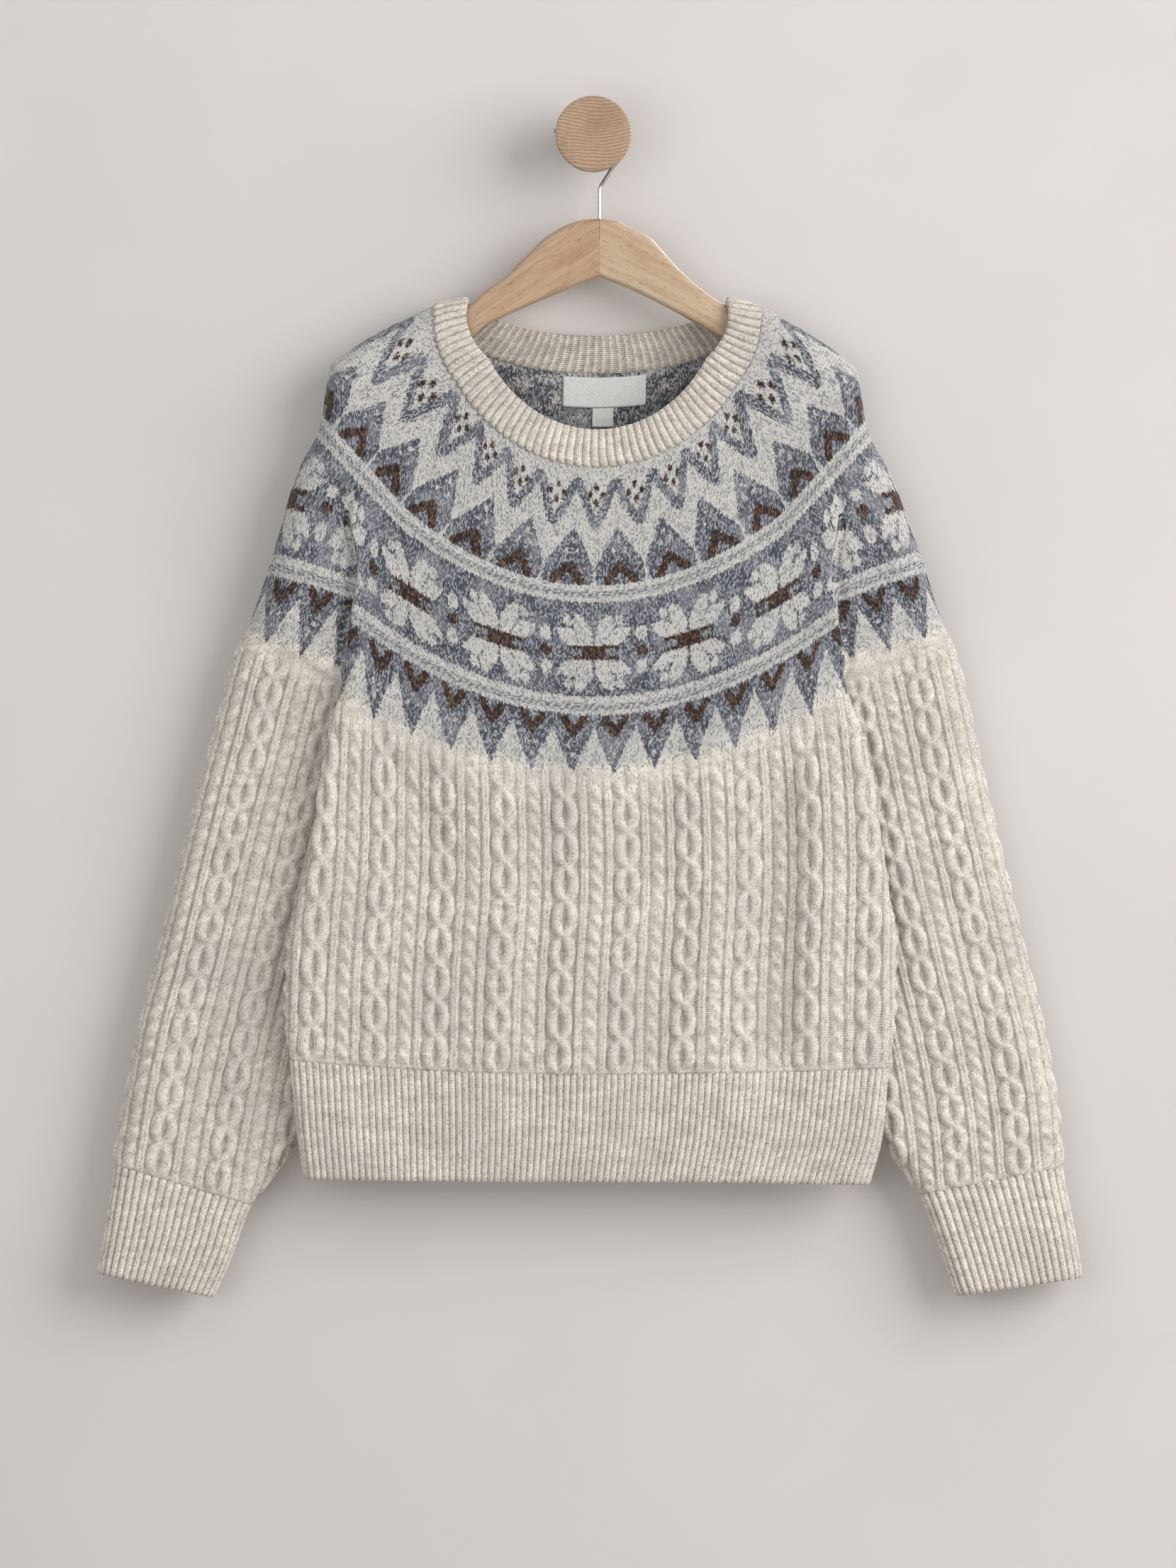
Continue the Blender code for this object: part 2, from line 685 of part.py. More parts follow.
def wave_runs(end_run):
    """A run at every crossing and every widest point of a wave cable."""
    half = WAVE_PERIOD / 2
    count = int((end_run - YOKE_END - 4) / half)
    between = [end_run - k * half for k in range(count, 0, -1)]
    return [YOKE_END + 1, *between, end_run - SEAM_GAP / 2]


def cabled_columns(sheet, waves, cabled, fine, coarse, side_shares, extra=()):
    """The columns of a cabled panel over its row, as (across, runs) pairs.

    waves are the middles of the wave cables. Three columns of fine rows shape each of them.
    Straight ribs and ropes have coarse rows, and extra ones go where the cloth turns. Beyond the
    cabled span, columns share what is left.
    """
    fixed = dict.fromkeys(extra, coarse)
    for wave in waves:
        for off in (-WAVE_SWING, 0, WAVE_SWING):
            fixed[round(wave + off, 2)] = fine
        for off in (WAVE_SWING + STRAND_HALF, RIB_AT, RIB_AT + RIB_HALF + 1.2, REPEAT / 2):
            fixed[round(wave + off, 2)] = coarse
            fixed[round(wave - off, 2)] = coarse
    places = sorted(at for at in fixed if cabled[0] <= at <= cabled[1])

    def beyond(start, end, share):
        return lambda run: start + (sheet.span(run)[end] - start) * share

    columns = [(beyond(places[0], 0, share), coarse) for share in reversed(side_shares)]
    columns += [(lambda run, at=at: at, fixed[at]) for at in places]
    columns += [(beyond(places[-1], 1, share), coarse) for share in side_shares]
    return columns


def body_panel(name, panel, yarn):
    sheet = Sheet(
        panel,
        NECK,
        BODY_END,
        lambda across, run: cable_relief(across, run, REPEAT / 2, BODY_END),
    )
    coarse = [YOKE_END + 1, 246, 280, 320, 365, 415, sheet.bottom]
    waves = [REPEAT * (k + 0.5) for k in range(-4, 4)]
    columns = cabled_columns(
        sheet, waves, (-183.2, 183.2), wave_runs(BODY_END), coarse, (0.4, 0.75, 0.95, 1)
    )
    yoke_runs = [sheet.top, *YOKE_RUNS]
    inner_runs = [*yoke_runs, 246, 300, 365, 415, sheet.bottom]
    return cloth_object(name, sheet_wall(sheet, yoke_runs, columns, inner_runs), yarn)


def sleeve_panel(name, sleeve, yarn):
    sheet = Sheet(
        sleeve,
        NECK,
        SLEEVE_END,
        lambda across, run: cable_relief(across, run, SLEEVE_WAVE, SLEEVE_END),
    )
    coarse = [YOKE_END + 1, 246, 290, 340, 400, 460, 520, 575, 620, sheet.bottom]
    waves = [SLEEVE_WAVE + REPEAT * k for k in range(-1, 3)]
    columns = cabled_columns(
        sheet, waves, (-92, 96), wave_runs(SLEEVE_END), coarse, (0.35, 0.7, 0.9, 1), (-5, 0)
    )
    yoke_runs = [sheet.top, *YOKE_RUNS]
    inner_runs = [*yoke_runs, 246, 290, 340, 400, 460, 520, 575, 620, sheet.bottom]
    return cloth_object(name, sheet_wall(sheet, yoke_runs, columns, inner_runs), yarn)


def ribbed_bands(front, back, left, right, yarn):
    body_ring = Ring([(front, True), (back, False)])
    cloth_object("hem_rib", ring_wall(body_ring, (BODY_END, HEM_END), HEM_RIBS, CLOTH), yarn)
    for name, sleeve in (("cuff_left", left), ("cuff_right", right)):
        cuff_ring = Ring([(sleeve, True)])
        cloth_object(name, ring_wall(cuff_ring, (SLEEVE_END, CUFF_END), CUFF_RIBS, CLOTH), yarn)
    neck_ring = Ring([(front, True), (right, True), (back, False), (left, False)])
    band = ring_wall(neck_ring, (BAND_TOP, NECK), NECK_RIBS, NECKBAND_CLOTH)
    cloth_object("neckband", band, yarn)


def label(name, back, sizes, satin):
    """A flat label inside the back panel, made from the panel's points moved inwards."""
    middle, half, first, last = sizes
    across = np.linspace(middle - half, middle + half, 7)
    wall = Wall()
    near, far = (
        [
            wall.chain(place(back, run, across, -CLOTH - SEAM_GAP - deep), across)
            for run in (first, last)
        ]
        for deep in (0, LABEL_CLOTH)
    )
    for pair in (near, far, (near[0], far[0]), (near[1], far[1])):
        wall.strip(*pair)
    for end in (0, -1):
        wall.strip(*([(row[end][0], i) for i, row in enumerate(side)] for side in (near, far)))
    return mesh_object(name, wall.points, wall.faces, satin, smooth_shading=False)


def tube_faces(rings, sides):
    """Faces between rings of points that follow each other, with both ends closed."""
    faces = []
    for ring in range(rings - 1):
        for k in range(sides):
            a = ring * sides + k
            b = ring * sides + (k + 1) % sides
            faces.append((a, b, b + sides, a + sides))
    faces.append(tuple(range(sides)))
    faces.append(tuple((rings - 1) * sides + k for k in range(sides)))
    return faces


def knob(wood):
    """The wall knob: its outline turned round the Y axis, with both flat ends closed."""
    points = []
    for radius, y in KNOB_OUTLINE:
        for k in range(KNOB_SIDES):
            angle = 2 * math.pi * k / KNOB_SIDES
            points.append((radius * math.cos(angle), y, radius * math.sin(angle)))
    return mesh_object("wall_knob", points, tube_faces(len(KNOB_OUTLINE), KNOB_SIDES), wood)


def hook_path():
    """The wire's middle line: up from the hanger, over the knob's stem, to a turned-out tip."""
    stem_top = KNOB_STEM_RADIUS + SEAM_GAP + WIRE_RADIUS
    centre_z = stem_top - HOOK_RADIUS
    path = [
        (HANGER_X, HOOK_END_Z),
        (HANGER_X, HOOK_BEND_Z - 3),
        (HANGER_X + 0.6, HOOK_BEND_Z - 1),
        (HANGER_X + 2.2, HOOK_BEND_Z + 1.4),
    ]
    for k in range(HOOK_STEPS + 1):
        angle = math.radians(HOOK_FROM + (HOOK_TO - HOOK_FROM) * k / HOOK_STEPS)
        path.append((HOOK_RADIUS * math.cos(angle), centre_z + HOOK_RADIUS * math.sin(angle)))
    x, z = path[-1]
    path.append((x - HOOK_TIP_OUT / 2.6, z - HOOK_TIP_DOWN * 1.1))
    path.append((x - HOOK_TIP_OUT, z - HOOK_TIP_DOWN))
    return path


def hook(steel):
    """The wire, as rings of points along its middle line."""
    path = np.array([(x, HANGER_Y, z) for x, z in hook_path()])
    along = np.gradient(path, axis=0)
    along /= np.linalg.norm(along, axis=1, keepdims=True)
    points = []
    for at, way in zip(path, along):
        side = np.array([way[2], 0, -way[0]])
        for k in range(WIRE_SIDES):
            angle = 2 * math.pi * k / WIRE_SIDES
            ring = side * math.cos(angle) + np.array([0, 1, 0]) * math.sin(angle)
            points.append(tuple(at + WIRE_RADIUS * ring))
    return mesh_object("hanger_hook", points, tube_faces(len(path), WIRE_SIDES), steel)


def arm_sections(sleeve, side, arm):
    """Places along one arm: (x, top, low). Under the cloth it follows the cloth's inside."""
    sections = [(HANGER_X + side * out, top, low) for out, top, low in arm]
    height = arm[-1][1] - arm[-1][2]
    under = [(run, NECKBAND_CLOTH + BAND_SLACK) for run in ARM_UNDER_BAND]
    under += [(run, CLOTH) for run in ARM_UNDER_SHOULDER]
    for run, cloth in under:
        share = (run - BAND_TOP) / (ARM_UNDER_SHOULDER[-1] - BAND_TOP)
        x, _, z = place(sleeve, run, np.array([0.0]), -cloth - SHOULDER_SLACK)[0]
        sections.append((x, z, z - height + (height - ARM_TIP_HEIGHT) * share))
    return sections


def arm_outline(top, low):
    """Half thickness and height of the arm's section, a rectangle with rounded corners."""
    edge = HANGER_EDGE
    corners = ((1, top - edge, 90), (-1, top - edge, 180), (-1, low + edge, 270), (1, low + edge, 360))
    outline = []
    for sign, z, last in corners:
        for angle in (last - 90, last - 45, last):
            turn = math.radians(angle)
            across = sign * (HANGER_HALF_THICK - edge) + edge * math.cos(turn)
            outline.append((across, z + edge * math.sin(turn)))
    return outline


def hanger_arm(name, sleeve, side, arm, wood):
    points = []
    sections = arm_sections(sleeve, side, arm)
    for x, top, low in sections:
        points += [(x, HANGER_Y + across, z) for across, z in arm_outline(top, low)]
    sides = len(points) // len(sections)
    arm = mesh_object(name, points, tube_faces(len(sections), sides), wood)
    cut = arm.modifiers.new("wire_hole", "BOOLEAN")
    cut.operation = "DIFFERENCE"
    cut.solver = "EXACT"
    cut.object = bpy.data.objects["wire_hole_cutter"]
    return arm


def wire_hole_cutter():
    """The hole in the top of the hanger that the hook's stem goes into."""
    sides = 12
    points = []
    for z in (HOOK_END_Z - SEAM_GAP, -50.0):
        for k in range(sides):
            angle = 2 * math.pi * (k + 0.5) / sides
            x = HANGER_X + WIRE_HOLE_RADIUS * math.cos(angle)
            points.append((x, HANGER_Y + WIRE_HOLE_RADIUS * math.sin(angle), z))
    faces = tube_faces(2, sides)
    cutter = mesh_object("wire_hole_cutter", points, faces, bpy.data.materials["beech"])
    cutter.hide_render = True
    cutter.display_type = "WIRE"


def clear_scene():
    for thing in list(bpy.data.objects):
        bpy.data.objects.remove(thing)


def main():
    clear_scene()
    yarn = material("cream_wool", (0.74, 0.69, 0.61), 0.95)
    yoke_yarn = material("patterned_wool", (0.62, 0.64, 0.66), 0.95)
    satin = material("label_satin", (0.82, 0.82, 0.81), 0.5)
    beech = material("beech", (0.69, 0.51, 0.33), 0.5)
    knob_beech = material("knob_beech", (0.61, 0.4, 0.26), 0.5)
    steel = material("polished_steel", (0.75, 0.74, 0.72), 0.2, 1.0)

    front = Panel(FRONT, FRONT_FOLDS, 1, 1)
    back = Panel(BACK, BACK_FOLDS, -1, -1)
    left = Sleeve(LEFT_SLEEVE, -1, front, back)
    right = Sleeve(RIGHT_SLEEVE, 1, front, back)
    front.join((left, 0), (right, 0), (back, 0), (back, -1))
    back.join((left, -1), (right, -1), (front, 0), (front, -1))
    left.join((front, 0), (back, 0), (left, -1), (left, 0))
    right.join((front, -1), (back, -1), (right, -1), (right, 0))

    body_panel("front_panel", front, yoke_yarn)
    body_panel("back_panel", back, yoke_yarn)
    sleeve_panel("sleeve_left", left, yoke_yarn)
    sleeve_panel("sleeve_right", right, yoke_yarn)
    ribbed_bands(front, back, left, right, yarn)
    label("neck_label", back, MAIN_LABEL, satin)
    label("size_label", back, SIZE_LABEL, satin)

    wire_hole_cutter()
    hanger_arm("hanger_arm_left", left, -1, LEFT_ARM, beech)
    hanger_arm("hanger_arm_right", right, 1, RIGHT_ARM, beech)
    hook(steel)
    knob(knob_beech)


main()
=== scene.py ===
"""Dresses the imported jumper, its hanger and its wall knob for rendering.

Cloth is worked out in millimetres, in the same frame as the CAD, and becomes metres in Skin.build.
Each cloth panel is a set of rows. A row runs across the panel at one distance down the cloth,
called its run. Distances along a row, called across, are measured on the cloth from the panel's
centre line or, on a sleeve, from its outer fold.
"""

import math
from functools import lru_cache

import bmesh
import bpy
import numpy as np
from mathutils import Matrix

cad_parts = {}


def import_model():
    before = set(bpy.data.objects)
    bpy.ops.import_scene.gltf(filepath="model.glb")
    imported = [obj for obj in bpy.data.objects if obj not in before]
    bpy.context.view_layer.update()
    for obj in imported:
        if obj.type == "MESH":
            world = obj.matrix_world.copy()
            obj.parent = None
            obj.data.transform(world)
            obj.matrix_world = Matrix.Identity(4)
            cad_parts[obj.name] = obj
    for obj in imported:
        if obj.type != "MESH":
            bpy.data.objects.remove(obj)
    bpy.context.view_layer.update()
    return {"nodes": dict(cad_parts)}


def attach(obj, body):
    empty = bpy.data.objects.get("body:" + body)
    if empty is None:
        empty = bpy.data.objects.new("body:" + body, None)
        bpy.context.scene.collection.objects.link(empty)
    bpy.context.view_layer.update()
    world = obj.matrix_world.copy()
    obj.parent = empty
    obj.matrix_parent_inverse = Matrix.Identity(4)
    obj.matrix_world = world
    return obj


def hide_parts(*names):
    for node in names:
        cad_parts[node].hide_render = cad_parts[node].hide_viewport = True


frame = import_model()

MM = 0.001
SEAM_GAP = 0.06
CLOTH = 3.0
NECKBAND_CLOTH = 4.0
LABEL_CLOTH = 0.8

# Runs, down the cloth from the neck seam.
BAND_TOP = -29.0
NECK = 0.0
UNDERARM = 219.0
YOKE_END = 233.0
BODY_END = 464.0
HEM_END = 550.0
SLEEVE_END = 650.0
CUFF_END = 734.0

# One stitch, and the spacing of the points along a panel.
STITCH_WIDE = 2.3
STITCH_TALL = 1.6
ROW_TALL = 2.2
BAND_ROW_TALL = STITCH_TALL * 2.4
BODY_POINTS = 380
SLEEVE_POINTS = 290
INNER_STEP = 3

# The cable stitch repeat: one open wave cable, a narrow rib, a rope cable and another rib.
REPEAT = 47.4
WAVE_PERIOD = 26.4
WAVE_WAIST = 2.2
WAVE_STEEP = 0.45
WAVE_SWING = 3.9
STRAND_HALF = 4.5
WAVE_HEIGHT = 3.6
ROPE_HALF = 4.9
ROPE_HEIGHT = 3.1
ROPE_PERIOD = 13.8
ROPE_SLANT = 17.0
RIB_AT = 14.0
RIB_APART = 1.4
RIB_HALF = 1.65
RIB_HEIGHT = 1.9
RIDGE_ROUND = 0.72
CROSS_WIDER = 0.5
CROSS_LOWER = 0.24
ROPE_SWELL = 0.5
ROPE_MEAN = 0.58
# Painted shade where the cloth lies low: the height under which it starts, its share in a cable's
# hollow, how near a rib counts as the rib's valley, and its share there.
HOLLOW_UNDER = 1.2
HOLLOW_PAINTED_SHADE = 0.5
RIB_ZONE = 5.2
RIB_VALLEY_PAINTED_SHADE = 0.75
CABLE_START = 223.0
CABLE_FADE = 34.0
CABLE_END = 7.0
CABLE_END_HEIGHT = 0.35
SLEEVE_WAVE = -40.0

HEM_RIBS = 184
CUFF_RIBS = 40
NECK_RIBS = 106
EDGE_RIB_HEIGHT = 1.6
EDGE_RIB_FLAT = 0.45
EDGE_VALLEY = 2.6
FREE_END = 2.5
FREE_END_HEIGHT = 0.35
INNER_RIB_SHARE = 0.5
# Painted shade on a band's ribs and in its valleys, as shares.
BAND_PAINTED_SHADE = (0.04, 0.9)
# The neckband has more painted shade on its ribs, which darkens its top where the light falls on it.
NECK_PAINTED_SHADE = (0.26, 0.85)

ROW_SAMPLES = 90

PANEL_COLUMNS = (
    "run",
    "left_x",
    "left_z",
    "right_x",
    "right_z",
    "middle_z",
    "middle_y",
    "strip_y",
    "end_y",
    "arc",
    "fold",
    "ramp_x",
)

# The front, from the top of the neckband to the bottom of the hem. left and right are its two
# ends, middle its centre. strip_y is the depth beside the ends, end_y the depth at them. arc is the
# part of a circle that the row bends through, and fold is 1 where the end is a folded edge.
FRONT = (
    (-29, -80.6, -170.5, 86.6, -170.5, -225.6, -47, -44, -44, 58, 0, 60),
    (0, -105, -189.5, 110.4, -189.5, -254.4, -51, -46, -46, 58, 0, 80),
    (60, -133, -250, 136, -254, -313.5, -53, -49, -49, 34, 0, 110),
    (97, -146, -292, 146, -296, -351, -55, -51, -51, 22, 0, 120),
    (150, -167, -342, 168, -346, -404.5, -57, -54, -54, 16, 0, 135),
    (182, -177, -370, 179, -373, -436.8, -58, -55, -55, 14, 0, 145),
    (205, -185, -395, 186, -393, -460, -59, -56, -53, 12, 0.2, 150),
    (219, -190, -414, 189, -407, -473.5, -59.5, -59.5, -51, 12, 0.9, 150),
    (233, -194, -431, 194, -427, -487.8, -60, -60, -53, 10, 1, 150),
    (272, -204, -480, 208, -478, -527, -60, -60, -53, 10, 1, 150),
    (326, -214, -545, 219, -543, -581, -60.5, -60.5, -53, 8, 1, 155),
    (361, -225, -587, 226, -586, -616, -61, -61, -53, 8, 1, 160),
    (390, -232.5, -623, 230, -621, -645, -61, -61, -53, 8, 1, 170),
    (425, -234.6, -665, 230, -664, -680, -61, -61, -53, 8, 1, 180),
    (464, -231, -708, 224.5, -714, -718.8, -60, -60, -52, 8, 1, 190),
    (510, -226, -758, 220, -764, -762, -58, -58, -48, 8, 1, 200),
    (550, -220, -799, 210, -803.5, -801, -56, -56, -44, 8, 1, 200),
)

# The back. Its ends stay level with the front's, and its rows are higher in the yoke.
BACK = (
    (-29, -80.6, -137.6, 86.6, -137.6, -152.8, -11, -14, -14, 58, 0, 60),
    (0, -105, -156.8, 110.4, -156.8, -181.8, -9, -13, -13, 58, 0, 80),
    (60, -133, -215, 136, -219, -245, -8, -12, -12, 34, 0, 105),
    (97, -146, -258, 146, -262, -283, -8, -12, -12, 22, 0, 115),
    (150, -167, -318, 168, -322, -340, -8, -14, -14, 16, 0, 135),
    (182, -177, -352, 179, -355, -374, -8, -21, -21, 14, 0, 142),
    (205, -185, -387, 186, -385, -399, -8, -33, -33, 12, 0.2, 140),
    (219, -190, -414, 189, -407, -413, -8, -45, -51, 12, 0.9, 136),
    (233, -194, -431, 194, -427, -428, -8, -46, -53, 10, 1, 132),
    (272, -204, -480, 208, -478, -478, -8, -46, -53, 10, 1, 128),
    (326, -214, -545, 219, -543, -545, -8, -46, -53, 8, 1, 128),
    (361, -225, -587, 226, -586, -588, -8, -46, -53, 8, 1, 134),
    (390, -232.5, -623, 230, -621, -624, -8, -46, -53, 8, 1, 144),
    (425, -234.6, -665, 230, -664, -666, -8, -46, -53, 8, 1, 158),
    (464, -231, -708, 224.5, -714, -712, -8.5, -45, -52, 8, 1, 172),
    (510, -226, -758, 220, -764, -758, -10, -38, -48, 8, 1, 176),
    (550, -220, -799, 210, -803.5, -800, -12, -32, -44, 8, 1, 170),
)

SLEEVE_COLUMNS = (
    "run",
    "outer_x",
    "outer_z",
    "inner_x",
    "inner_z",
    "outer_y",
    "front_y",
    "back_y",
    "inner_y",
    "crease",
    "closed",
    "bow",
    "turn",
)

# A sleeve from the neckband to the end of the cuff. outer is its outer fold, and inner the seam
# under the arm, which counts from the underarm down. crease is where the front steps back beside
# the body, as a share of the row. closed is 1 where the sleeve is a whole tube. bow is how far the
# row curves away from the neck, and turn the radius of the outer fold. Each sleeve has its own
# first five columns.
LEFT_SLEEVE = (
    (-29, -96, -124.5, 0, 0),
    (0, -122, -130.5, 0, 0),
    (20, -142.6, -140, 0, 0),
    (40, -170, -154, 0, 0),
    (52, -188, -166, 0, 0),
    (62, -201, -176, 0, 0),
    (75, -204.5, -192, 0, 0),
    (97, -209, -222.5, 0, 0),
    (125, -226, -256, 0, 0),
    (150, -237, -290, 0, 0),
    (182, -248, -330, 0, 0),
    (205, -257, -356, 0, 0),
    (219, -262, -370, -191.5, -413.2),
    (233, -268, -384, -182, -428),
    (262, -277, -412, -172, -452),
    (300, -286.5, -449, -165, -490),
    (355, -301, -503, -164, -545),
    (462, -327, -608, -181, -646),
    (547, -347.5, -691, -205, -726),
    (605, -359, -747, -235, -779),
    (650, -366, -788.5, -263, -819),
    (700, -373, -838, -279, -861),
    (734, -379, -872, -292, -890),
)
RIGHT_SLEEVE = (
    (-29, 102, -124.5, 0, 0),
    (0, 128, -131, 0, 0),
    (20, 148, -142, 0, 0),
    (40, 174, -157.5, 0, 0),
    (52, 191, -170, 0, 0),
    (62, 202, -181, 0, 0),
    (75, 205, -197, 0, 0),
    (97, 210, -226, 0, 0),
    (125, 227, -258, 0, 0),
    (150, 240, -291, 0, 0),
    (182, 253, -328, 0, 0),
    (205, 261, -354, 0, 0),
    (219, 266, -368, 190.5, -406.2),
    (233, 271.5, -382, 182, -424),
    (262, 279.5, -410, 172, -450),
    (300, 288, -448, 165, -488),
    (355, 300, -503, 163, -543),
    (462, 325, -608, 178, -645),
    (547, 345, -692, 203, -726),
    (605, 354.5, -749, 229, -776),
    (650, 358.6, -790, 251, -811),
    (700, 368, -840, 268, -856),
    (734, 374, -875, 279, -889),
)

# What both sleeves share, from outer_y on, in the same rows.
SLEEVE_DEPTHS = (
    (-30, -44, -16, 0, 0.5, 0, 7, 16),
    (-30, -45, -15, 0, 0.5, 0, 6, 18),
    (-30, -46, -14, 0, 0.5, 0, 4, 19),
    (-30, -47, -13, 0, 0.5, 0, 3, 20),
    (-30, -48, -12, 0, 0.5, 0, 2, 20),
    (-30, -48.5, -12, 0, 0.5, 0, 1, 20),
    (-30, -49, -11, 0, 0.5, 0, 0, 22),
    (-29, -50, -9, 0, 0.5, 0, 0, 24),
    (-28, -48.5, -8, 0, 0.57, 0, 0, 24),
    (-27, -46.5, -7, 0, 0.78, 0, 0, 24),
    (-26, -46.5, -6, 0, 0.86, 0, 0, 24),
    (-25, -46, -6, 0, 0.92, 0.1, 0, 24),
    (-24.5, -44, -6, -51, 0.96, 0.5, 0, 24),
    (-24, -41, -6, -38, 1, 0.9, 0, 24),
    (-23, -39.5, -6, -28, 1, 1, 0, 24),
    (-22.5, -39, -6, -24, 1, 1, 0, 24),
    (-22.5, -39, -6, -23, 1, 1, 0, 24),
    (-22.5, -39, -6, -22.5, 1, 1, 0, 24),
    (-23, -39, -7, -23, 1, 1, 0, 22),
    (-25, -40, -10, -25, 1, 1, 0, 20),
    (-26, -40, -12, -26, 1, 1, 0, 18),
    (-27, -41, -13, -27, 1, 1, 0, 17),
    (-28, -41, -15, -28, 1, 1, 0, 16),
)

# Soft upright folds in the body: where each lies, how wide and deep it is, where its middle is in
# height, half its height, and how far it leans.
FRONT_FOLDS = (
    (-142, 30, 3.0, -600, 190, 0.02),
    (-40, 27, 4.0, -590, 230, 0.05),
    (54, 25, 4.5, -610, 240, 0.03),
    (138, 24, 3.5, -600, 200, -0.04),
)
BACK_FOLDS = (
    (-96, 26, 4.0, -600, 210, -0.04),
    (-8, 30, 5.0, -570, 260, 0.02),
    (84, 24, 4.0, -620, 220, 0.04),
)

# Creases in the knit: distance across, half width, how far it stands out, the run of its middle,
# half its length, and its lean.
FRONT_CREASES = (
    (-150, 9, -2.4, 266, 48, 0.85),
    (-120, 17, -2.6, 345, 115, 0.08),
    (-64, 15, 2.2, 372, 128, 0.03),
    (-38, 19, 1.3, 128, 74, -0.12),
    (22, 20, -2.6, 356, 140, -0.03),
    (64, 21, -1.5, 118, 80, 0.1),
    (92, 14, 2.0, 402, 104, 0.04),
    (130, 26, -8.0, 372, 142, -0.06),
    (152, 10, -2.7, 270, 52, -0.8),
    (176, 15, 3.4, 368, 122, -0.03),
)
BACK_CREASES = (
    (-152, 11, -2.8, 268, 50, 0.8),
    (-128, 19, -3.2, 338, 132, 0.05),
    (-48, 16, 2.4, 364, 138, -0.04),
    (-20, 24, -1.6, 124, 82, 0.08),
    (36, 21, -3.0, 382, 118, 0.02),
    (108, 17, 2.6, 344, 126, -0.05),
    (150, 10, -2.5, 264, 46, -0.85),
)
LEFT_CREASES = (
    (-34, 13, -2.2, 418, 104, 0.07),
    (-58, 10, -2.6, 604, 38, 0.7),
    (-78, 15, 2.0, 462, 118, -0.05),
    (-92, 9, -2.6, 306, 46, 0.55),
    (-24, 12, 1.8, 560, 62, -0.2),
    (38, 14, -2.4, 436, 112, 0.05),
    (70, 11, -2.2, 590, 46, -0.6),
    (88, 14, 2.2, 352, 92, -0.08),
)
RIGHT_CREASES = (
    (-30, 14, -2.4, 440, 98, -0.06),
    (-62, 10, -2.2, 596, 42, -0.6),
    (-74, 14, 2.2, 448, 124, 0.06),
    (-94, 9, -2.8, 300, 50, 0.5),
    (-20, 11, 1.6, 574, 56, 0.25),
    (42, 15, -2.2, 424, 118, -0.04),
    (72, 10, -2.4, 604, 40, 0.55),
    (84, 13, 2.0, 368, 96, 0.07),
)
CREASE_CLEAR = 16.0

# The blank labels sewn inside the back of the neck: middle, half width, top and bottom as runs.
MAIN_LABEL = (6.0, 32.0, 3.0, 25.0)
SIZE_LABEL = (5.0, 8.0, 25.4, 39.0)
LABEL_ROWS = 14
LABEL_COLUMNS = 33
LABEL_HEM = 0.25
LABEL_HEM_WIDE = 1.6

# Where the repeats of the chart fall, counted round the cloth from the front's centre, at the
# diamonds, at the mountains and at the stars, and the runs of the first two.
DIAMOND_RUN = 24.0
MOUNTAIN_RUN = 82.0
DIAMOND_MARKS = (0, 30.2, 60.4, 90.7, 121.4, 161, 199.7, 231, 262, 293, 324, 355)
MOUNTAIN_MARKS = (0, 39.8, 79.5, 119.5, 158, 196.6, 235.9, 274, 312, 350, 388, 426)
STAR_MARKS = (0, 73.5, 150.5, 219, 292, 365)

# How much closer to the neck the diamonds lie than their run, along the same line.
CHART_LIFT_AT = (40, 90, 121, 145, 161, 200)
CHART_LIFT = (0, 6, 7.5, 2, -2, -6)
CHART_LIFT_END = 70.0
CHART_LIFT_FADE = 45.0

# The sleeves' own star and spike places, as distances across, and the cloth lost in the crease.
SLEEVE_STAR = -7.2
SLEEVE_SPIKE = -27.0
SLEEVE_SPIKE_PITCH = 29.4
CREASE_LOSS = 17.5
CREASE_LOSS_START = 103.0
CREASE_LOSS_GROWS = 27.0
CREASE_SHEAR = 3.0
TUCK_AT = 4.5
TUCK_WIDE = 5.0
TUCK_DEEP = 4.0
TUCK_START = 112.0
TUCK_GROWS = 40.0
TUCK_END = 232.0
TUCK_FADES = 14.0

# The hanger's two arms: distance out from its middle, then the heights of the top and lower edge.
# Further out the top follows the inside of the band and of the shoulder.
HANGER_X = 4.8
HANGER_Y = -30.0
LEFT_ARM = (
    (0.15, -63.8, -108.3),
    (12, -64.6, -112.8),
    (26, -69.1, -118.5),
    (40, -77, -124.4),
    (50, -86, -128.6),
    (59, -94.8, -132.4),
    (75, -110.8, -139.6),
    (88, -119.5, -146.5),
)
RIGHT_ARM = (
    (0.15, -63.8, -108.3),
    (12, -65.2, -113.2),
    (21, -69.4, -117),
    (38, -78, -125),
    (49, -89.5, -130.6),
    (60.5, -102.4, -136.8),
    (73, -114, -143.6),
    (86, -124, -151),
)
ARM_UNDER_BAND = (-28.5, 0)
ARM_UNDER_SHOULDER = (20, 42, 57)
HANGER_HALF_THICK = 6.5
HANGER_EDGE = 4.5
ARM_TIP_HEIGHT = 20.0
SHOULDER_SLACK = 0.75
BAND_SLACK = 0.7
ARM_STEP = 1.5

# The knob, turned round Y: radius and depth of each point of its outline.
KNOB_OUTLINE = (
    (16, 0),
    (16, -34),
    (18, -37),
    (26.5, -38.5),
    (28.4, -40),
    (29, -42.5),
    (29, -54.8),
    (28.9, -55.4),
    (28.5, -55.8),
    (27.9, -56),
)
KNOB_SIDES = 120
KNOB_RINGS = (24, 18, 12, 6)

# The picture: how much it shows and how far off the camera is, in metres.
PICTURE_TALL = 1.2
PICTURE_CENTRE = (-0.0041, -0.4969)
PICTURE_PLANE = 0.04
CAMERA_FAR = 9.0
WALL_Y = 0.0006
FLOOR_DROP = 1.25
AMBIENT = 0.72
EXPOSURE = 0.21


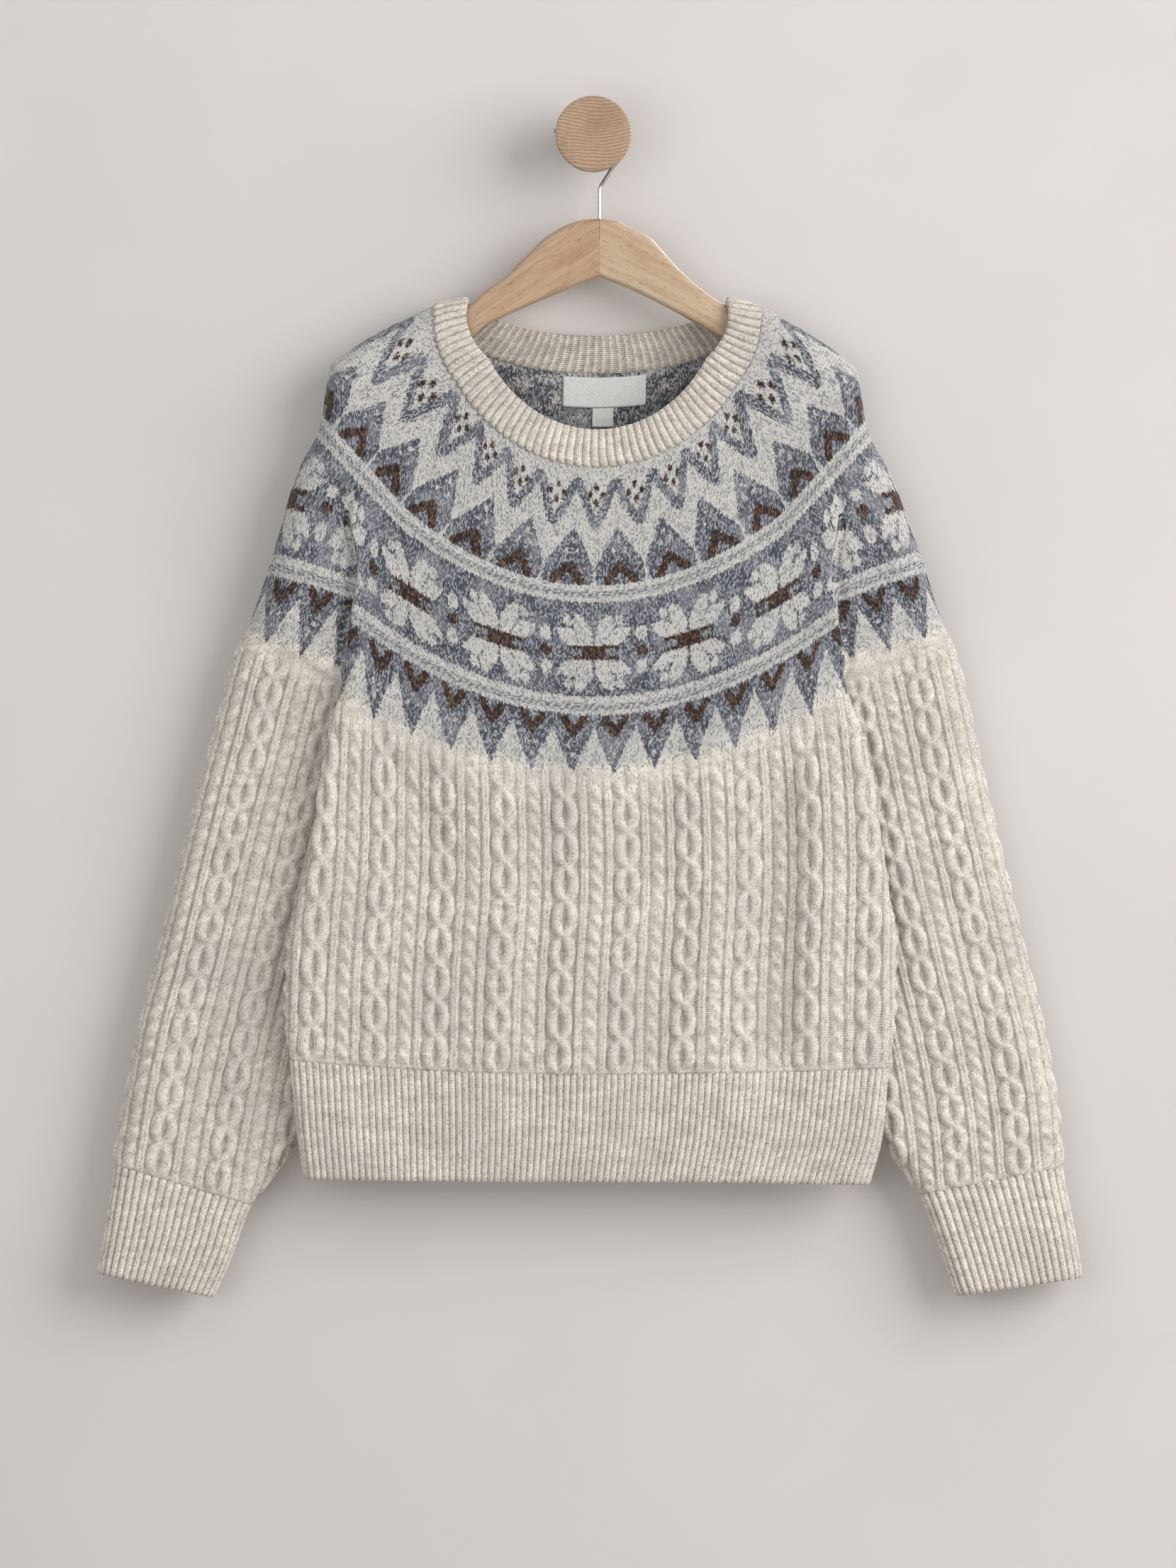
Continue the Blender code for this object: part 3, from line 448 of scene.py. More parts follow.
def smooth(knots, values, at):
    """A curve through the values that never overshoots them (a monotone cubic)."""
    knots = np.asarray(knots, float)
    values = np.asarray(values, float)
    steps = np.diff(knots)
    slopes = np.diff(values) / steps
    rates = np.zeros(len(knots))
    rates[0] = slopes[0]
    rates[-1] = slopes[-1]
    same_way = slopes[:-1] * slopes[1:] > 0
    weight_a = 2 * steps[1:] + steps[:-1]
    weight_b = steps[1:] + 2 * steps[:-1]
    safe_a = np.where(same_way, slopes[:-1], 1)
    safe_b = np.where(same_way, slopes[1:], 1)
    mean = (weight_a + weight_b) / (weight_a / safe_a + weight_b / safe_b)
    rates[1:-1] = np.where(same_way, mean, 0)
    at = np.clip(np.asarray(at, float), knots[0], knots[-1])
    k = np.clip(np.searchsorted(knots, at, side="right") - 1, 0, len(steps) - 1)
    t = (at - knots[k]) / steps[k]
    return (
        values[k] * (1 + 2 * t) * (1 - t) ** 2
        + values[k + 1] * t * t * (3 - 2 * t)
        + steps[k] * (rates[k] * t * (1 - t) ** 2 - rates[k + 1] * t * t * (1 - t))
    )


class Table:
    """A table whose columns are read, by name, at any run."""

    def __init__(self, columns, rows):
        self.columns = columns
        self.rows = np.array(rows, float)

    @lru_cache(maxsize=None)
    def at(self, run):
        keys = self.rows[:, 0]
        return {
            name: float(smooth(keys, self.rows[:, i], run))
            for i, name in enumerate(self.columns)
        }


def step(t):
    """0 before 0, 1 after 1, and smooth between."""
    t = np.clip(t, 0, 1)
    return t * t * (3 - 2 * t)


def quarter(t):
    """A quarter of an ellipse, from 0 with a steep start to 1 with a level end."""
    t = np.clip(t, 0, 1)
    return np.sqrt(np.clip(1 - (1 - t) ** 2, 0, 1))


def spaced(points, zero_at):
    """Distance along a line of points, counted from the point numbered zero_at."""
    gaps = np.linalg.norm(np.diff(points, axis=0), axis=1)
    along = np.concatenate([[0], np.cumsum(gaps)])
    return along - along[zero_at]


def hump(height, off, up):
    """A long soft fold at points off its middle line and up its length, as shares of its half sizes."""
    return height * np.exp(-(off**2)) * step(1.15 - up**2)


def folded(points, folds):
    """How far points move in y into the soft folds. A fold goes inwards."""
    deep = np.zeros(len(points))
    for x, half_width, depth, z, half_height, lean in folds:
        off = (points[:, 0] - x - lean * (points[:, 2] - z)) / half_width
        up = (points[:, 2] - z) / half_height
        deep += hump(depth, off, up)
    return deep


class Cloth:
    """A piece of cloth that is worked out row by row. hand is 1 where its rows run rightwards."""

    PROBE = STITCH_TALL
    SEAM_BLEND = 2.0

    def __init__(self, columns, rows, hand, creases):
        self.table = Table(columns, rows)
        self.hand = hand
        self.joins = {}
        self.creases = creases

    def join(self, low_above, high_above, low_below, high_below):
        """Names the neighbour at each end of a row, as (cloth, its end), above and below the arm."""
        self.joins = {
            (True, 0): low_above,
            (True, -1): high_above,
            (False, 0): low_below,
            (False, -1): high_below,
        }

    @lru_cache(maxsize=None)
    def own_normals(self, run):
        """The way out of the cloth at each point of the row, from this piece alone."""
        first, last = self.table.rows[0, 0], self.table.rows[-1, 0]
        lower = round(min(run + self.PROBE, last), 3)
        upper = round(max(run - self.PROBE, first), 3)
        down = self.points(lower) - self.points(upper)
        normal = np.cross(down, np.gradient(self.points(run), axis=0)) * self.hand
        return normal / np.linalg.norm(normal, axis=1, keepdims=True)

    @lru_cache(maxsize=None)
    def row(self, run):
        """The row's points, the distance across of each, and the way out of the cloth there.

        At a seam the way out is the mean of both pieces, so that their walls end side by side.
        """
        points = self.points(run)
        along = spaced(points, ROW_SAMPLES)
        normals = self.own_normals(run).copy()
        for end in (0, -1):
            other, other_end = self.joins[(run < UNDERARM, end)]
            mean = normals[end] + other.own_normals(run)[other_end]
            mean = mean / np.linalg.norm(mean)
            weight = np.exp(-(((along - along[end]) / self.SEAM_BLEND) ** 2))[:, None]
            normals = normals * (1 - weight) + mean * weight
        normals /= np.linalg.norm(normals, axis=1, keepdims=True)
        return points, along, normals


class Panel(Cloth):
    """The front or the back. Its rows run rightwards. inwards is the way in, in y."""

    EDGE_TURN = 9.0
    RAMP_HALF = 24.0
    COLUMNS = BODY_POINTS
    END = BODY_END
    WAVE_AT = REPEAT / 2

    def __init__(self, rows, folds, creases, hand, inwards):
        super().__init__(PANEL_COLUMNS, rows, hand, creases)
        self.folds = folds
        self.inwards = inwards

    def ends(self, run):
        row = self.table.at(run)
        left = np.array([row["left_x"], row["end_y"], row["left_z"]])
        right = np.array([row["right_x"], row["end_y"], row["right_z"]])
        return left, right

    @lru_cache(maxsize=None)
    def points(self, run):
        r = self.table.at(run)
        t = np.sin(np.linspace(-1, 1, 2 * ROW_SAMPLES + 1) * math.pi / 2)
        turn = math.radians(r["arc"])
        half = (r["right_x"] - r["left_x"]) / 2
        outward = half * np.sin(turn * t) / math.sin(turn)
        x = (r["left_x"] + r["right_x"]) / 2 + outward
        end_z = np.where(t < 0, r["left_z"], r["right_z"])
        bend = (1 - np.cos(turn * t)) / (1 - math.cos(turn))
        z = r["middle_z"] + (end_z - r["middle_z"]) * bend
        outward = np.abs(outward)
        ramp = step((outward - r["ramp_x"] + self.RAMP_HALF) / (2 * self.RAMP_HALF))
        from_end = (half - outward) / self.EDGE_TURN
        ending = r["fold"] * (1 - quarter(from_end)) + (1 - r["fold"]) * step(t * t * 4 - 3)
        y = r["middle_y"] + (r["strip_y"] - r["middle_y"]) * ramp
        y = y + (r["end_y"] - r["strip_y"]) * ending
        points = np.stack([x, y, z], axis=1)
        points[:, 1] += self.inwards * folded(points, self.folds) * step(from_end / 4)
        return points


class Sleeve(Cloth):
    """A sleeve, from its front seam round the outer fold to its back seam. side is -1 or 1."""

    CREASE_HALF = 4.0
    BACK_CREASE = 0.86
    INNER_TURN = 15.0
    COLUMNS = SLEEVE_POINTS
    END = SLEEVE_END
    WAVE_AT = SLEEVE_WAVE

    def __init__(self, rows, creases, side, front, back):
        whole_rows = [own + shared for own, shared in zip(rows, SLEEVE_DEPTHS)]
        super().__init__(SLEEVE_COLUMNS, whole_rows, side, creases)
        self.side = side
        self.front = front
        self.back = back

    def seam(self, panel, run, row):
        if run >= UNDERARM:
            return np.array([row["inner_x"], row["inner_y"], row["inner_z"]])
        return panel.ends(run)[0 if self.side < 0 else 1]

    def half_row(self, row, seam, flat_y, crease):
        """From the outer fold to one seam."""
        outer = np.array([row["outer_x"], row["outer_y"], row["outer_z"]])
        t = (1 - np.cos(np.linspace(0, 1, ROW_SAMPLES + 1) * math.pi)) / 2
        length = math.hypot(seam[0] - outer[0], seam[2] - outer[2])
        away = np.array([seam[2] - outer[2], outer[0] - seam[0]]) / length
        away = away * np.sign(away[0] * self.side)
        bow = row["bow"] * 4 * t * (1 - t)
        x = outer[0] + (seam[0] - outer[0]) * t + away[0] * bow
        z = outer[2] + (seam[2] - outer[2]) * t + away[1] * bow
        opened = step(((t - crease) * length + self.CREASE_HALF) / (2 * self.CREASE_HALF))
        opened = opened / opened[-1]
        closed = 1 - quarter((1 - t) * length / self.INNER_TURN)
        ending = (1 - row["closed"]) * opened + row["closed"] * closed
        y = outer[1] + (flat_y - outer[1]) * quarter(t * length / row["turn"])
        y = y + (seam[1] - flat_y) * ending
        return np.stack([x, y, z], axis=1)

    @lru_cache(maxsize=None)
    def points(self, run):
        r = self.table.at(run)
        front = self.half_row(r, self.seam(self.front, run, r), r["front_y"], r["crease"])
        back = self.half_row(r, self.seam(self.back, run, r), r["back_y"], self.BACK_CREASE)
        return np.concatenate([front[::-1], back[1:]])

    def crease_from_seam(self, run):
        """How far the crease beside the body lies from the front seam, on the cloth."""
        r = self.table.at(run)
        seam = self.seam(self.front, run, r)
        length = math.hypot(seam[0] - r["outer_x"], seam[2] - r["outer_z"])
        return (1 - r["crease"]) * length


class Ring:
    """A closed band of cloth, made of the rows of pieces that follow each other round it."""

    def __init__(self, parts):
        self.parts = parts
        self.hand = parts[0][0].hand

    @lru_cache(maxsize=None)
    def row(self, run):
        lines = [(cloth.row(run), 1 if forward else -1) for cloth, forward in self.parts]
        first_line, first_way = lines[0]
        points, normals = (
            np.concatenate(
                [*(line[i][::way][:-1] for line, way in lines), first_line[i][::first_way][:1]]
            )
            for i in (0, 2)
        )
        return points, spaced(points, 0), normals


def place(cloth, run, across, lift):
    """Points at one run and several distances across, each lifted out of the cloth."""
    points, along, normals = cloth.row(run)
    at = np.stack([np.interp(across, along, points[:, i]) for i in range(3)], axis=1)
    out = np.stack([np.interp(across, along, normals[:, i]) for i in range(3)], axis=1)
    return at + out * np.broadcast_to(lift, len(at))[:, None]


def limits(cloth, run):
    along = cloth.row(run)[1]
    return along[0], along[-1]


def ridge(off, half):
    """A rounded ridge, 1 at its top and 0 past half its width."""
    return np.clip(1 - (off / half) ** 2, 0, 1) ** RIDGE_ROUND


def soft(distance, width=3.6):
    """1 well inside a shape and 0 well outside, from the distance inside its edge."""
    return np.clip(distance / width + 0.5, 0, 1)


def cable_relief(across, run, wave_at, end_run):
    """From one wave cable's centre: how far the cables stand out, how far their stitches lean
    aside, and how much shade is painted into the hollows between them and into the valleys beside the
    ribs.

    Of a wave cable's two strands, the one that goes down to the right always lies on top.
    """
    off = (across - wave_at + REPEAT / 2) % REPEAT - REPEAT / 2
    phase = math.pi * (end_run - run) / WAVE_PERIOD
    turned = np.sin(phase)
    swing = WAVE_WAIST * np.clip(turned / WAVE_STEEP, -1, 1) + WAVE_SWING * turned
    crossing = np.abs(np.cos(phase)) ** 2
    half = STRAND_HALF + CROSS_WIDER * crossing
    under = np.where(np.cos(phase) < 0, 1, 0)
    first = ridge(off - swing, half) * (1 - CROSS_LOWER * crossing * (1 - under))
    second = ridge(off + swing, half) * (1 - CROSS_LOWER * crossing * under)
    from_rib = np.abs(np.abs(off) - RIB_AT)
    rib = ridge(from_rib - RIB_APART, RIB_HALF)
    rope_off = REPEAT / 2 - np.abs(off)
    rope_side = rope_off * -np.sign(off)
    turn = 2 * math.pi * (run / ROPE_PERIOD - rope_side / ROPE_SLANT)
    rope = ridge(rope_off, ROPE_HALF + ROPE_SWELL * np.sin(turn))
    rope *= ROPE_MEAN + (1 - ROPE_MEAN) * np.cos(turn)
    wave = np.maximum(first, second)
    high = np.maximum(WAVE_HEIGHT * wave, np.maximum(RIB_HEIGHT * rib, ROPE_HEIGHT * rope))
    ending = CABLE_END_HEIGHT + (1 - CABLE_END_HEIGHT) * step((end_run - run) / CABLE_END)
    fade = step((run - CABLE_START) / CABLE_FADE) * ending
    aside = np.where(first > second, swing, -swing) * (wave > 0) * (fade > 0)
    # Painted shade in the hollows and valleys, stronger beside the ribs.
    dark = (1 - step(high / HOLLOW_UNDER)) * np.where(from_rib < RIB_ZONE, RIB_VALLEY_PAINTED_SHADE, HOLLOW_PAINTED_SHADE)
    return high * fade, aside, dark * fade


# The floats inside the yoke, as a share of blue-grey that changes from row to row.
FLOAT_SHARE = 0.56
FLOAT_SWING = 0.22
FLOAT_PITCH = 13.0
FLOAT_DRIFT = (0.11, 0.37)
FLOAT_PATTERN = 0.3
FLOAT_BROWN = (0.2, 0.4)
# Painted shade over the whole wrong side.
WRONG_SIDE_PAINTED_SHADE = 0.45

# The yoke's chart, in repeats that are counted round the yoke. Runs and sizes are in millimetres.

# The dots in the diamonds and the zigzag round them
UPPER_END = 94.0
UPPER_PITCH = 26.5
UPPER_PITCH_GROWS = 0.165
DOTS = ((0, 16.5), (-5.2, 22.2), (5.2, 22.2), (0, 28))
DOT_HALF = (2.1, 3.1)
ZIGZAG_BAND = (9.0, 49.0)
ZIGZAG_POINT = 47.0
ZIGZAG_RISE = 36.0
ZIGZAG_HALF = 4.1
ZIGZAG_SHARE = 0.78

# The mountains, with a few pale speckles and a brown chevron
MOUNTAIN_BAND = (46.0, 91.5)
MOUNTAIN_RISE = 32.0
MOUNTAIN_HALF = 19.0
MOUNTAIN_PALE = 0.74
MOUNTAIN_DARKENS = 90.0
SPECKLES = ((0, 58), (-4.2, 66), (4.2, 66))
SPECKLE_HALF = (1.6, 2.0)
SPECKLE_SHARE = 0.8
CHEVRON = ((0, 77), (10.4, 89))
CHEVRON_BAND = (70.0, 92.0)
CHEVRON_HALF = 3.5

# A quarter of a star, from its centre outwards: petals, leaf, bar with its window, side leaf, dot
STAR_RUN = 142.4
STAR_PITCH = 73.0
STAR_ZONE = (102.0, 177.0)
STAR_BAND = (104.4, 175.4)
TALL_PETAL = (
    (1.3, 5.4),
    (1.3, 16),
    (3.8, 20.5),
    (7, 25.5),
    (11, 28.3),
    (14, 28.5),
    (15.2, 25),
    (14.8, 19),
    (10.8, 11.5),
    (6.5, 5.4),
)
WIDE_PETAL = ((28.7, 17.5), (17, 18), (11.9, 11.5), (7.3, 5.4), (19, 5.4), (22.5, 8), (26.5, 13))
PETAL_GROWN = 0.25
LEAF = (19.6, 24.0, 3.4, 4.0)
BAR = (19.3, 5.6)
BAR_WINDOW = (9.4, 17.8, 2.5)
SIDE_LEAF = (12.5, 4.5, 5.5)
SIDE_DOT = (5.0, 3.7)

# The spikes, with brown marks and flecks, and the grey haze over their points
SPIKE_PITCH = 31.8
SPIKE_START = 187.0
SPIKE_BAND = (189.2, 235.0)
SPIKE_RISE = 36.0
SPIKE_CAP = 1.3
SPIKE_MARK = ((7.4, 193), (0, 203.5))
SPIKE_MARK_HALF = 3.2
SPIKE_FLECKS = ((3.4, 213, 1.7, 2.2), (0, 220.5, 1.7, 2.4))
FLECK_SHARE = 0.7
HAZE = (0.2, 228.0, 16.0)
PALE_END = (216.0, 26.0)

# The two marled lines above and below the stars
UPPER_LINES = (95.6, 100.4)
LOWER_LINES = (180.6, 186.0)
WELT_HEIGHT = 1.0
WELT_WIDER = 1.4


def line_gap(x, y, start, end):
    """Distance from points to a straight line piece."""
    dx, dy = end[0] - start[0], end[1] - start[1]
    t = np.clip(((x - start[0]) * dx + (y - start[1]) * dy) / (dx * dx + dy * dy), 0, 1)
    return np.hypot(x - start[0] - t * dx, y - start[1] - t * dy)


def within(shape, x, y):
    """Distance inside the edge of a shape, below 0 outside it."""
    inside = np.zeros(x.shape, bool)
    gap = np.full(x.shape, 1e9)
    for start, end in zip(shape, shape[1:] + shape[:1]):
        gap = np.minimum(gap, line_gap(x, y, start, end))
        crossing = start[0] + (y - start[1]) * (end[0] - start[0]) / (end[1] - start[1] + 1e-9)
        inside ^= ((start[1] > y) != (end[1] > y)) & (x < crossing)
    return np.where(inside, gap, -gap)


def oval(x, y, half_wide, half_tall):
    return (1 - np.hypot(x / half_wide, y / half_tall)) * min(half_wide, half_tall)


def between(run, first, last):
    return soft(np.minimum(run - first, last - run))


def from_nearest(repeats, pitch):
    """Distance across from the nearest whole repeat."""
    return (repeats - np.round(repeats)) * pitch


def upper_pitch(run):
    """The width of one repeat of the diamonds and mountains, which grows down the yoke."""
    return UPPER_PITCH + UPPER_PITCH_GROWS * run


def diamonds_and_mountains(run, repeats):
    pitch = upper_pitch(run)
    x = from_nearest(repeats, pitch)
    brown = np.max([soft(oval(x - a, run - b, *DOT_HALF)) for a, b in DOTS], axis=0)
    slant = np.abs(np.abs(x) - pitch / 2 * (ZIGZAG_POINT - run) / ZIGZAG_RISE)
    zigzag = ZIGZAG_SHARE * soft(ZIGZAG_HALF - slant) * between(run, *ZIGZAG_BAND)
    y = from_nearest(repeats + 0.5, pitch)
    below = run - MOUNTAIN_BAND[0]
    side = MOUNTAIN_HALF * np.clip(below / MOUNTAIN_RISE, 0, 1)
    mountain = soft(side - np.abs(y)) * between(run, *MOUNTAIN_BAND)
    mountain *= np.clip(MOUNTAIN_PALE + below / MOUNTAIN_DARKENS, MOUNTAIN_PALE, 1)
    pale = np.max([soft(oval(y - a, run - b, *SPECKLE_HALF)) for a, b in SPECKLES], axis=0)
    chevron = line_gap(np.abs(y), run, *CHEVRON)
    brown = np.maximum(brown, soft(CHEVRON_HALF - chevron) * between(run, *CHEVRON_BAND))
    return np.maximum(zigzag, mountain * (1 - SPECKLE_SHARE * pale)), brown


def stars(run, repeats):
    x = from_nearest(repeats, STAR_PITCH)
    a, b = np.abs(x), np.abs(STAR_RUN - run)
    pale = soft(np.maximum(within(TALL_PETAL, a, b), within(WIDE_PETAL, a, b)) + PETAL_GROWN)
    pale = np.maximum(pale, soft(oval(a - LEAF[0], b - LEAF[1], *LEAF[2:])))
    bar = soft(np.minimum(BAR[0] - a, BAR[1] - b))
    near, far, half = BAR_WINDOW
    heather = soft(np.minimum(np.minimum(a - near, far - a), half - b))
    c = STAR_PITCH / 2 - a
    pale = np.maximum(pale, soft(oval(c, b - SIDE_LEAF[0], *SIDE_LEAF[1:])))
    brown = np.maximum(bar * (1 - heather), soft(oval(c, b, *SIDE_DOT)))
    return (1 - pale) * between(run, *STAR_BAND), brown


def spikes(run, repeats):
    x = np.abs(from_nearest(repeats, SPIKE_PITCH))
    half = SPIKE_PITCH / 2 * np.clip((SPIKE_BAND[1] - run) / SPIKE_RISE, 0, SPIKE_CAP)
    blue = soft(half - x) * between(run, *SPIKE_BAND)
    brown = soft(SPIKE_MARK_HALF - line_gap(x, run, *SPIKE_MARK))
    flecks = np.max([soft(oval(x - a, run - b, *size)) for a, b, *size in SPIKE_FLECKS], axis=0)
    share, middle, reach = HAZE
    haze = share * np.clip(1 - np.abs(run - middle) / reach, 0, 1)
    return np.maximum(blue * (1 - FLECK_SHARE * flecks), haze), brown


def yoke_pattern(run, upper, star, spike):
    """Shares of blue-grey, brown and pale yarn, from the repeats of the three bands."""
    blue, brown = np.zeros(run.shape), np.zeros(run.shape)
    bands = (
        (run < UPPER_END, diamonds_and_mountains, upper),
        ((run > STAR_ZONE[0]) & (run < STAR_ZONE[1]), stars, star),
        (run > SPIKE_START, spikes, spike),
    )
    for where, chart, repeats in bands:
        if where.any():
            blue[where], brown[where] = chart(run[where], repeats[where])
    return blue, brown, 1 - step((run - PALE_END[0]) / PALE_END[1])


def marled_lines(run):
    """Two lines of twisted grey yarn in the cream bands."""
    return np.maximum(between(run, *UPPER_LINES), between(run, *LOWER_LINES))


def marled_welt(run):
    """How far the lines stand out, as a double welt."""
    high = 0 * run
    for first, last in (UPPER_LINES, LOWER_LINES):
        middle = (first + last) / 2
        quarter_wide = (last - first) / 4
        high = np.maximum(high, ridge(np.abs(run - middle) - quarter_wide, WELT_WIDER * quarter_wide))
    return WELT_HEIGHT * high


def seam_and_strip(cloth, run):
    """Row by row, a sleeve's front seam as a distance across, and the cloth between it and the
    crease beside the body.
    """
    low = np.array([limits(cloth, r)[0] for r in run[:, 0]])
    strip = np.array([cloth.crease_from_seam(r) for r in run[:, 0]])
    return low[:, None], strip[:, None]


def creased(cloth, run, across):
    """How far the cloth is moved out along its normal by soft troughs and ridges.

    Beside the body a sleeve tucks under the body's edge.
    """
    moved = 0 * run
    for at, wide, deep, middle, long, lean in cloth.creases:
        off = (across - at - lean * (run - middle)) / wide
        moved = moved + hump(deep, off, (run - middle) / long)
    ends = np.array([limits(cloth, r) for r in run[:, 0]])
    from_end = np.minimum(across - ends[:, :1], ends[:, 1:] - across)
    moved = moved * step(from_end / CREASE_CLEAR)
    moved = moved * step(np.minimum(run, cloth.END - run) / CREASE_CLEAR)
    if isinstance(cloth, Sleeve):
        low, strip = seam_and_strip(cloth, run)
        past = across - low - strip
        tuck = np.exp(-(((past - TUCK_AT) / TUCK_WIDE) ** 2))
        tuck = tuck * step((run - TUCK_START) / TUCK_GROWS) * step((TUCK_END - run) / TUCK_FADES)
        moved = moved - TUCK_DEEP * tuck
    return moved


def added(name, data, material=None):
    """An object for a mesh, a lamp or a camera, put into the scene."""
    if material:
        data.materials.append(material)
    thing = bpy.data.objects.new(name, data)
    bpy.context.scene.collection.objects.link(thing)
    return thing


class Skin:
    """Gathers grids of points, with what the yarn's material reads, into one closed mesh."""

    def __init__(self):
        self.count = 0
        self.points = []
        self.stitches = []
        self.patterns = []
        self.marks = []
        self.faces = []

    def grid(self, points, stitches, pattern, marks, outward):
        """Adds rows of points. stitches counts wales and rows, and marks are the painted shade and the
        marl.
        """
        rows, columns = points.shape[:2]
        numbers = self.count + np.arange(rows * columns).reshape(rows, columns)
        self.count += rows * columns
        self.points.append(points.reshape(-1, 3))
        self.stitches.append(stitches.reshape(-1, 2))
        self.patterns.append(np.stack([part.ravel() for part in pattern], axis=1))
        self.marks.append(np.stack([part.ravel() for part in marks], axis=1))
        corners = (numbers[:-1, :-1], numbers[:-1, 1:], numbers[1:, 1:], numbers[1:, :-1])
        quads = np.stack([corner.ravel() for corner in corners], axis=1)
        self.faces.extend((quads if outward else quads[:, ::-1]).tolist())
        return numbers

    def rim(self, a, b):
        """Fills the space between two lines of points that run side by side."""
        share_a, share_b = (np.linspace(0, 1, len(line)) for line in (a, b))
        i = j = 0
        while i < len(a) - 1 or j < len(b) - 1:
            next_a = share_a[i + 1] if i < len(a) - 1 else 2
            next_b = share_b[j + 1] if j < len(b) - 1 else 2
            if next_a <= next_b:
                self.faces.append([int(a[i]), int(a[i + 1]), int(b[j])])
                i += 1
            else:
                self.faces.append([int(a[i]), int(b[j + 1]), int(b[j])])
                j += 1

    def close(self, a, b):
        """Fills the space all round between two grids."""
        for pair in ((a[0], b[0]), (a[-1], b[-1]), (a[:, 0], b[:, 0]), (a[:, -1], b[:, -1])):
            self.rim(*pair)

    def build(self, name, material):
        mesh = bpy.data.meshes.new(name)
        mesh.from_pydata((np.concatenate(self.points) * MM).tolist(), [], self.faces)
        layers = (("stitch", self.stitches), ("pattern", self.patterns), ("marks", self.marks))
        for attribute, parts in layers:
            values = np.concatenate(parts)
            full = np.zeros((len(values), 3))
            full[:, : values.shape[1]] = values
            layer = mesh.attributes.new(attribute, "FLOAT_VECTOR", "POINT")
            layer.data.foreach_set("vector", full.ravel())
        shape = bmesh.new()
        shape.from_mesh(mesh)
        bmesh.ops.remove_doubles(shape, verts=shape.verts, dist=1e-7)
        bmesh.ops.recalc_face_normals(shape, faces=shape.faces)
        shape.to_mesh(mesh)
        shape.free()
        mesh.shade_smooth()
        return added(name, mesh, material)


def rows_between(first, last, tall):
    """Runs from the first to the last, half a seam gap short of both."""
    count = max(2, int(round((last - first) / tall)))
    inner = [round(first + (last - first) * k / count, 3) for k in range(1, count)]
    return [round(first + SEAM_GAP / 2, 3), *inner, round(last - SEAM_GAP / 2, 3)]


def sheet_grid(cloth, runs, columns):
    """Runs and distances across for a grid over a whole panel."""
    across = []
    for run in runs:
        low, high = limits(cloth, run)
        across.append(np.linspace(low + SEAM_GAP / 2, high - SEAM_GAP / 2, columns))
    across = np.array(across)
    return np.broadcast_to(np.array(runs)[:, None], across.shape), across


def placed(cloth, runs, across, lift):
    return np.array([place(cloth, run, across[i], lift[i]) for i, run in enumerate(runs)])


def repeats_at(marks, around):
    """How many repeats lie between the front's centre and each point."""
    return np.sign(around) * np.interp(np.abs(around), marks, np.arange(len(marks)))


def upper_repeats(run, around):
    share = np.clip((run - DIAMOND_RUN) / (MOUNTAIN_RUN - DIAMOND_RUN), -0.4, 1.2)
    above, below = (repeats_at(marks, around) for marks in (DIAMOND_MARKS, MOUNTAIN_MARKS))
    return above * (1 - share) + below * share


def chart_place(cloth, run, across):
    """The chart's run at each point, and the repeats of its three bands counted round the yoke.

    On a sleeve the chart follows the front's as far as the crease beside the body. Beyond it the
    cloth that lies in the crease is missing, so the chart starts further down and has its own count.
    """
    if isinstance(cloth, Panel):
        around = across
        star = repeats_at(STAR_MARKS, around)
        spike = around / SPIKE_PITCH + 0.5
        lost = 0
    else:
        end = 0 if cloth.side < 0 else -1
        low, strip = seam_and_strip(cloth, run)
        reach = [abs(cloth.front.row(min(r, UNDERARM))[1][end]) for r in run[:, 0]]
        reach = np.array(reach)[:, None]
        from_seam = across - low
        around = reach + from_seam
        beyond = step((from_seam - strip + CREASE_SHEAR) / (2 * CREASE_SHEAR))
        outwards = np.clip(1 - (from_seam - strip) / (-low - strip), 0, 1)
        lost = CREASE_LOSS * step((run - CREASE_LOSS_START) / CREASE_LOSS_GROWS) * beyond * outwards
        near = beyond < 0.5
        own = (across - SLEEVE_STAR) / STAR_PITCH
        star = np.where(near, repeats_at(STAR_MARKS, around), own)
        own = (across - SLEEVE_SPIKE) / SLEEVE_SPIKE_PITCH
        spike = np.where(near, around / SPIKE_PITCH + 0.5, own)
    high = np.interp(np.abs(around), CHART_LIFT_AT, CHART_LIFT)
    high = high * np.clip((CHART_LIFT_END - run) / CHART_LIFT_FADE, 0, 1)
    return run + high + lost, upper_repeats(run, around), star, spike


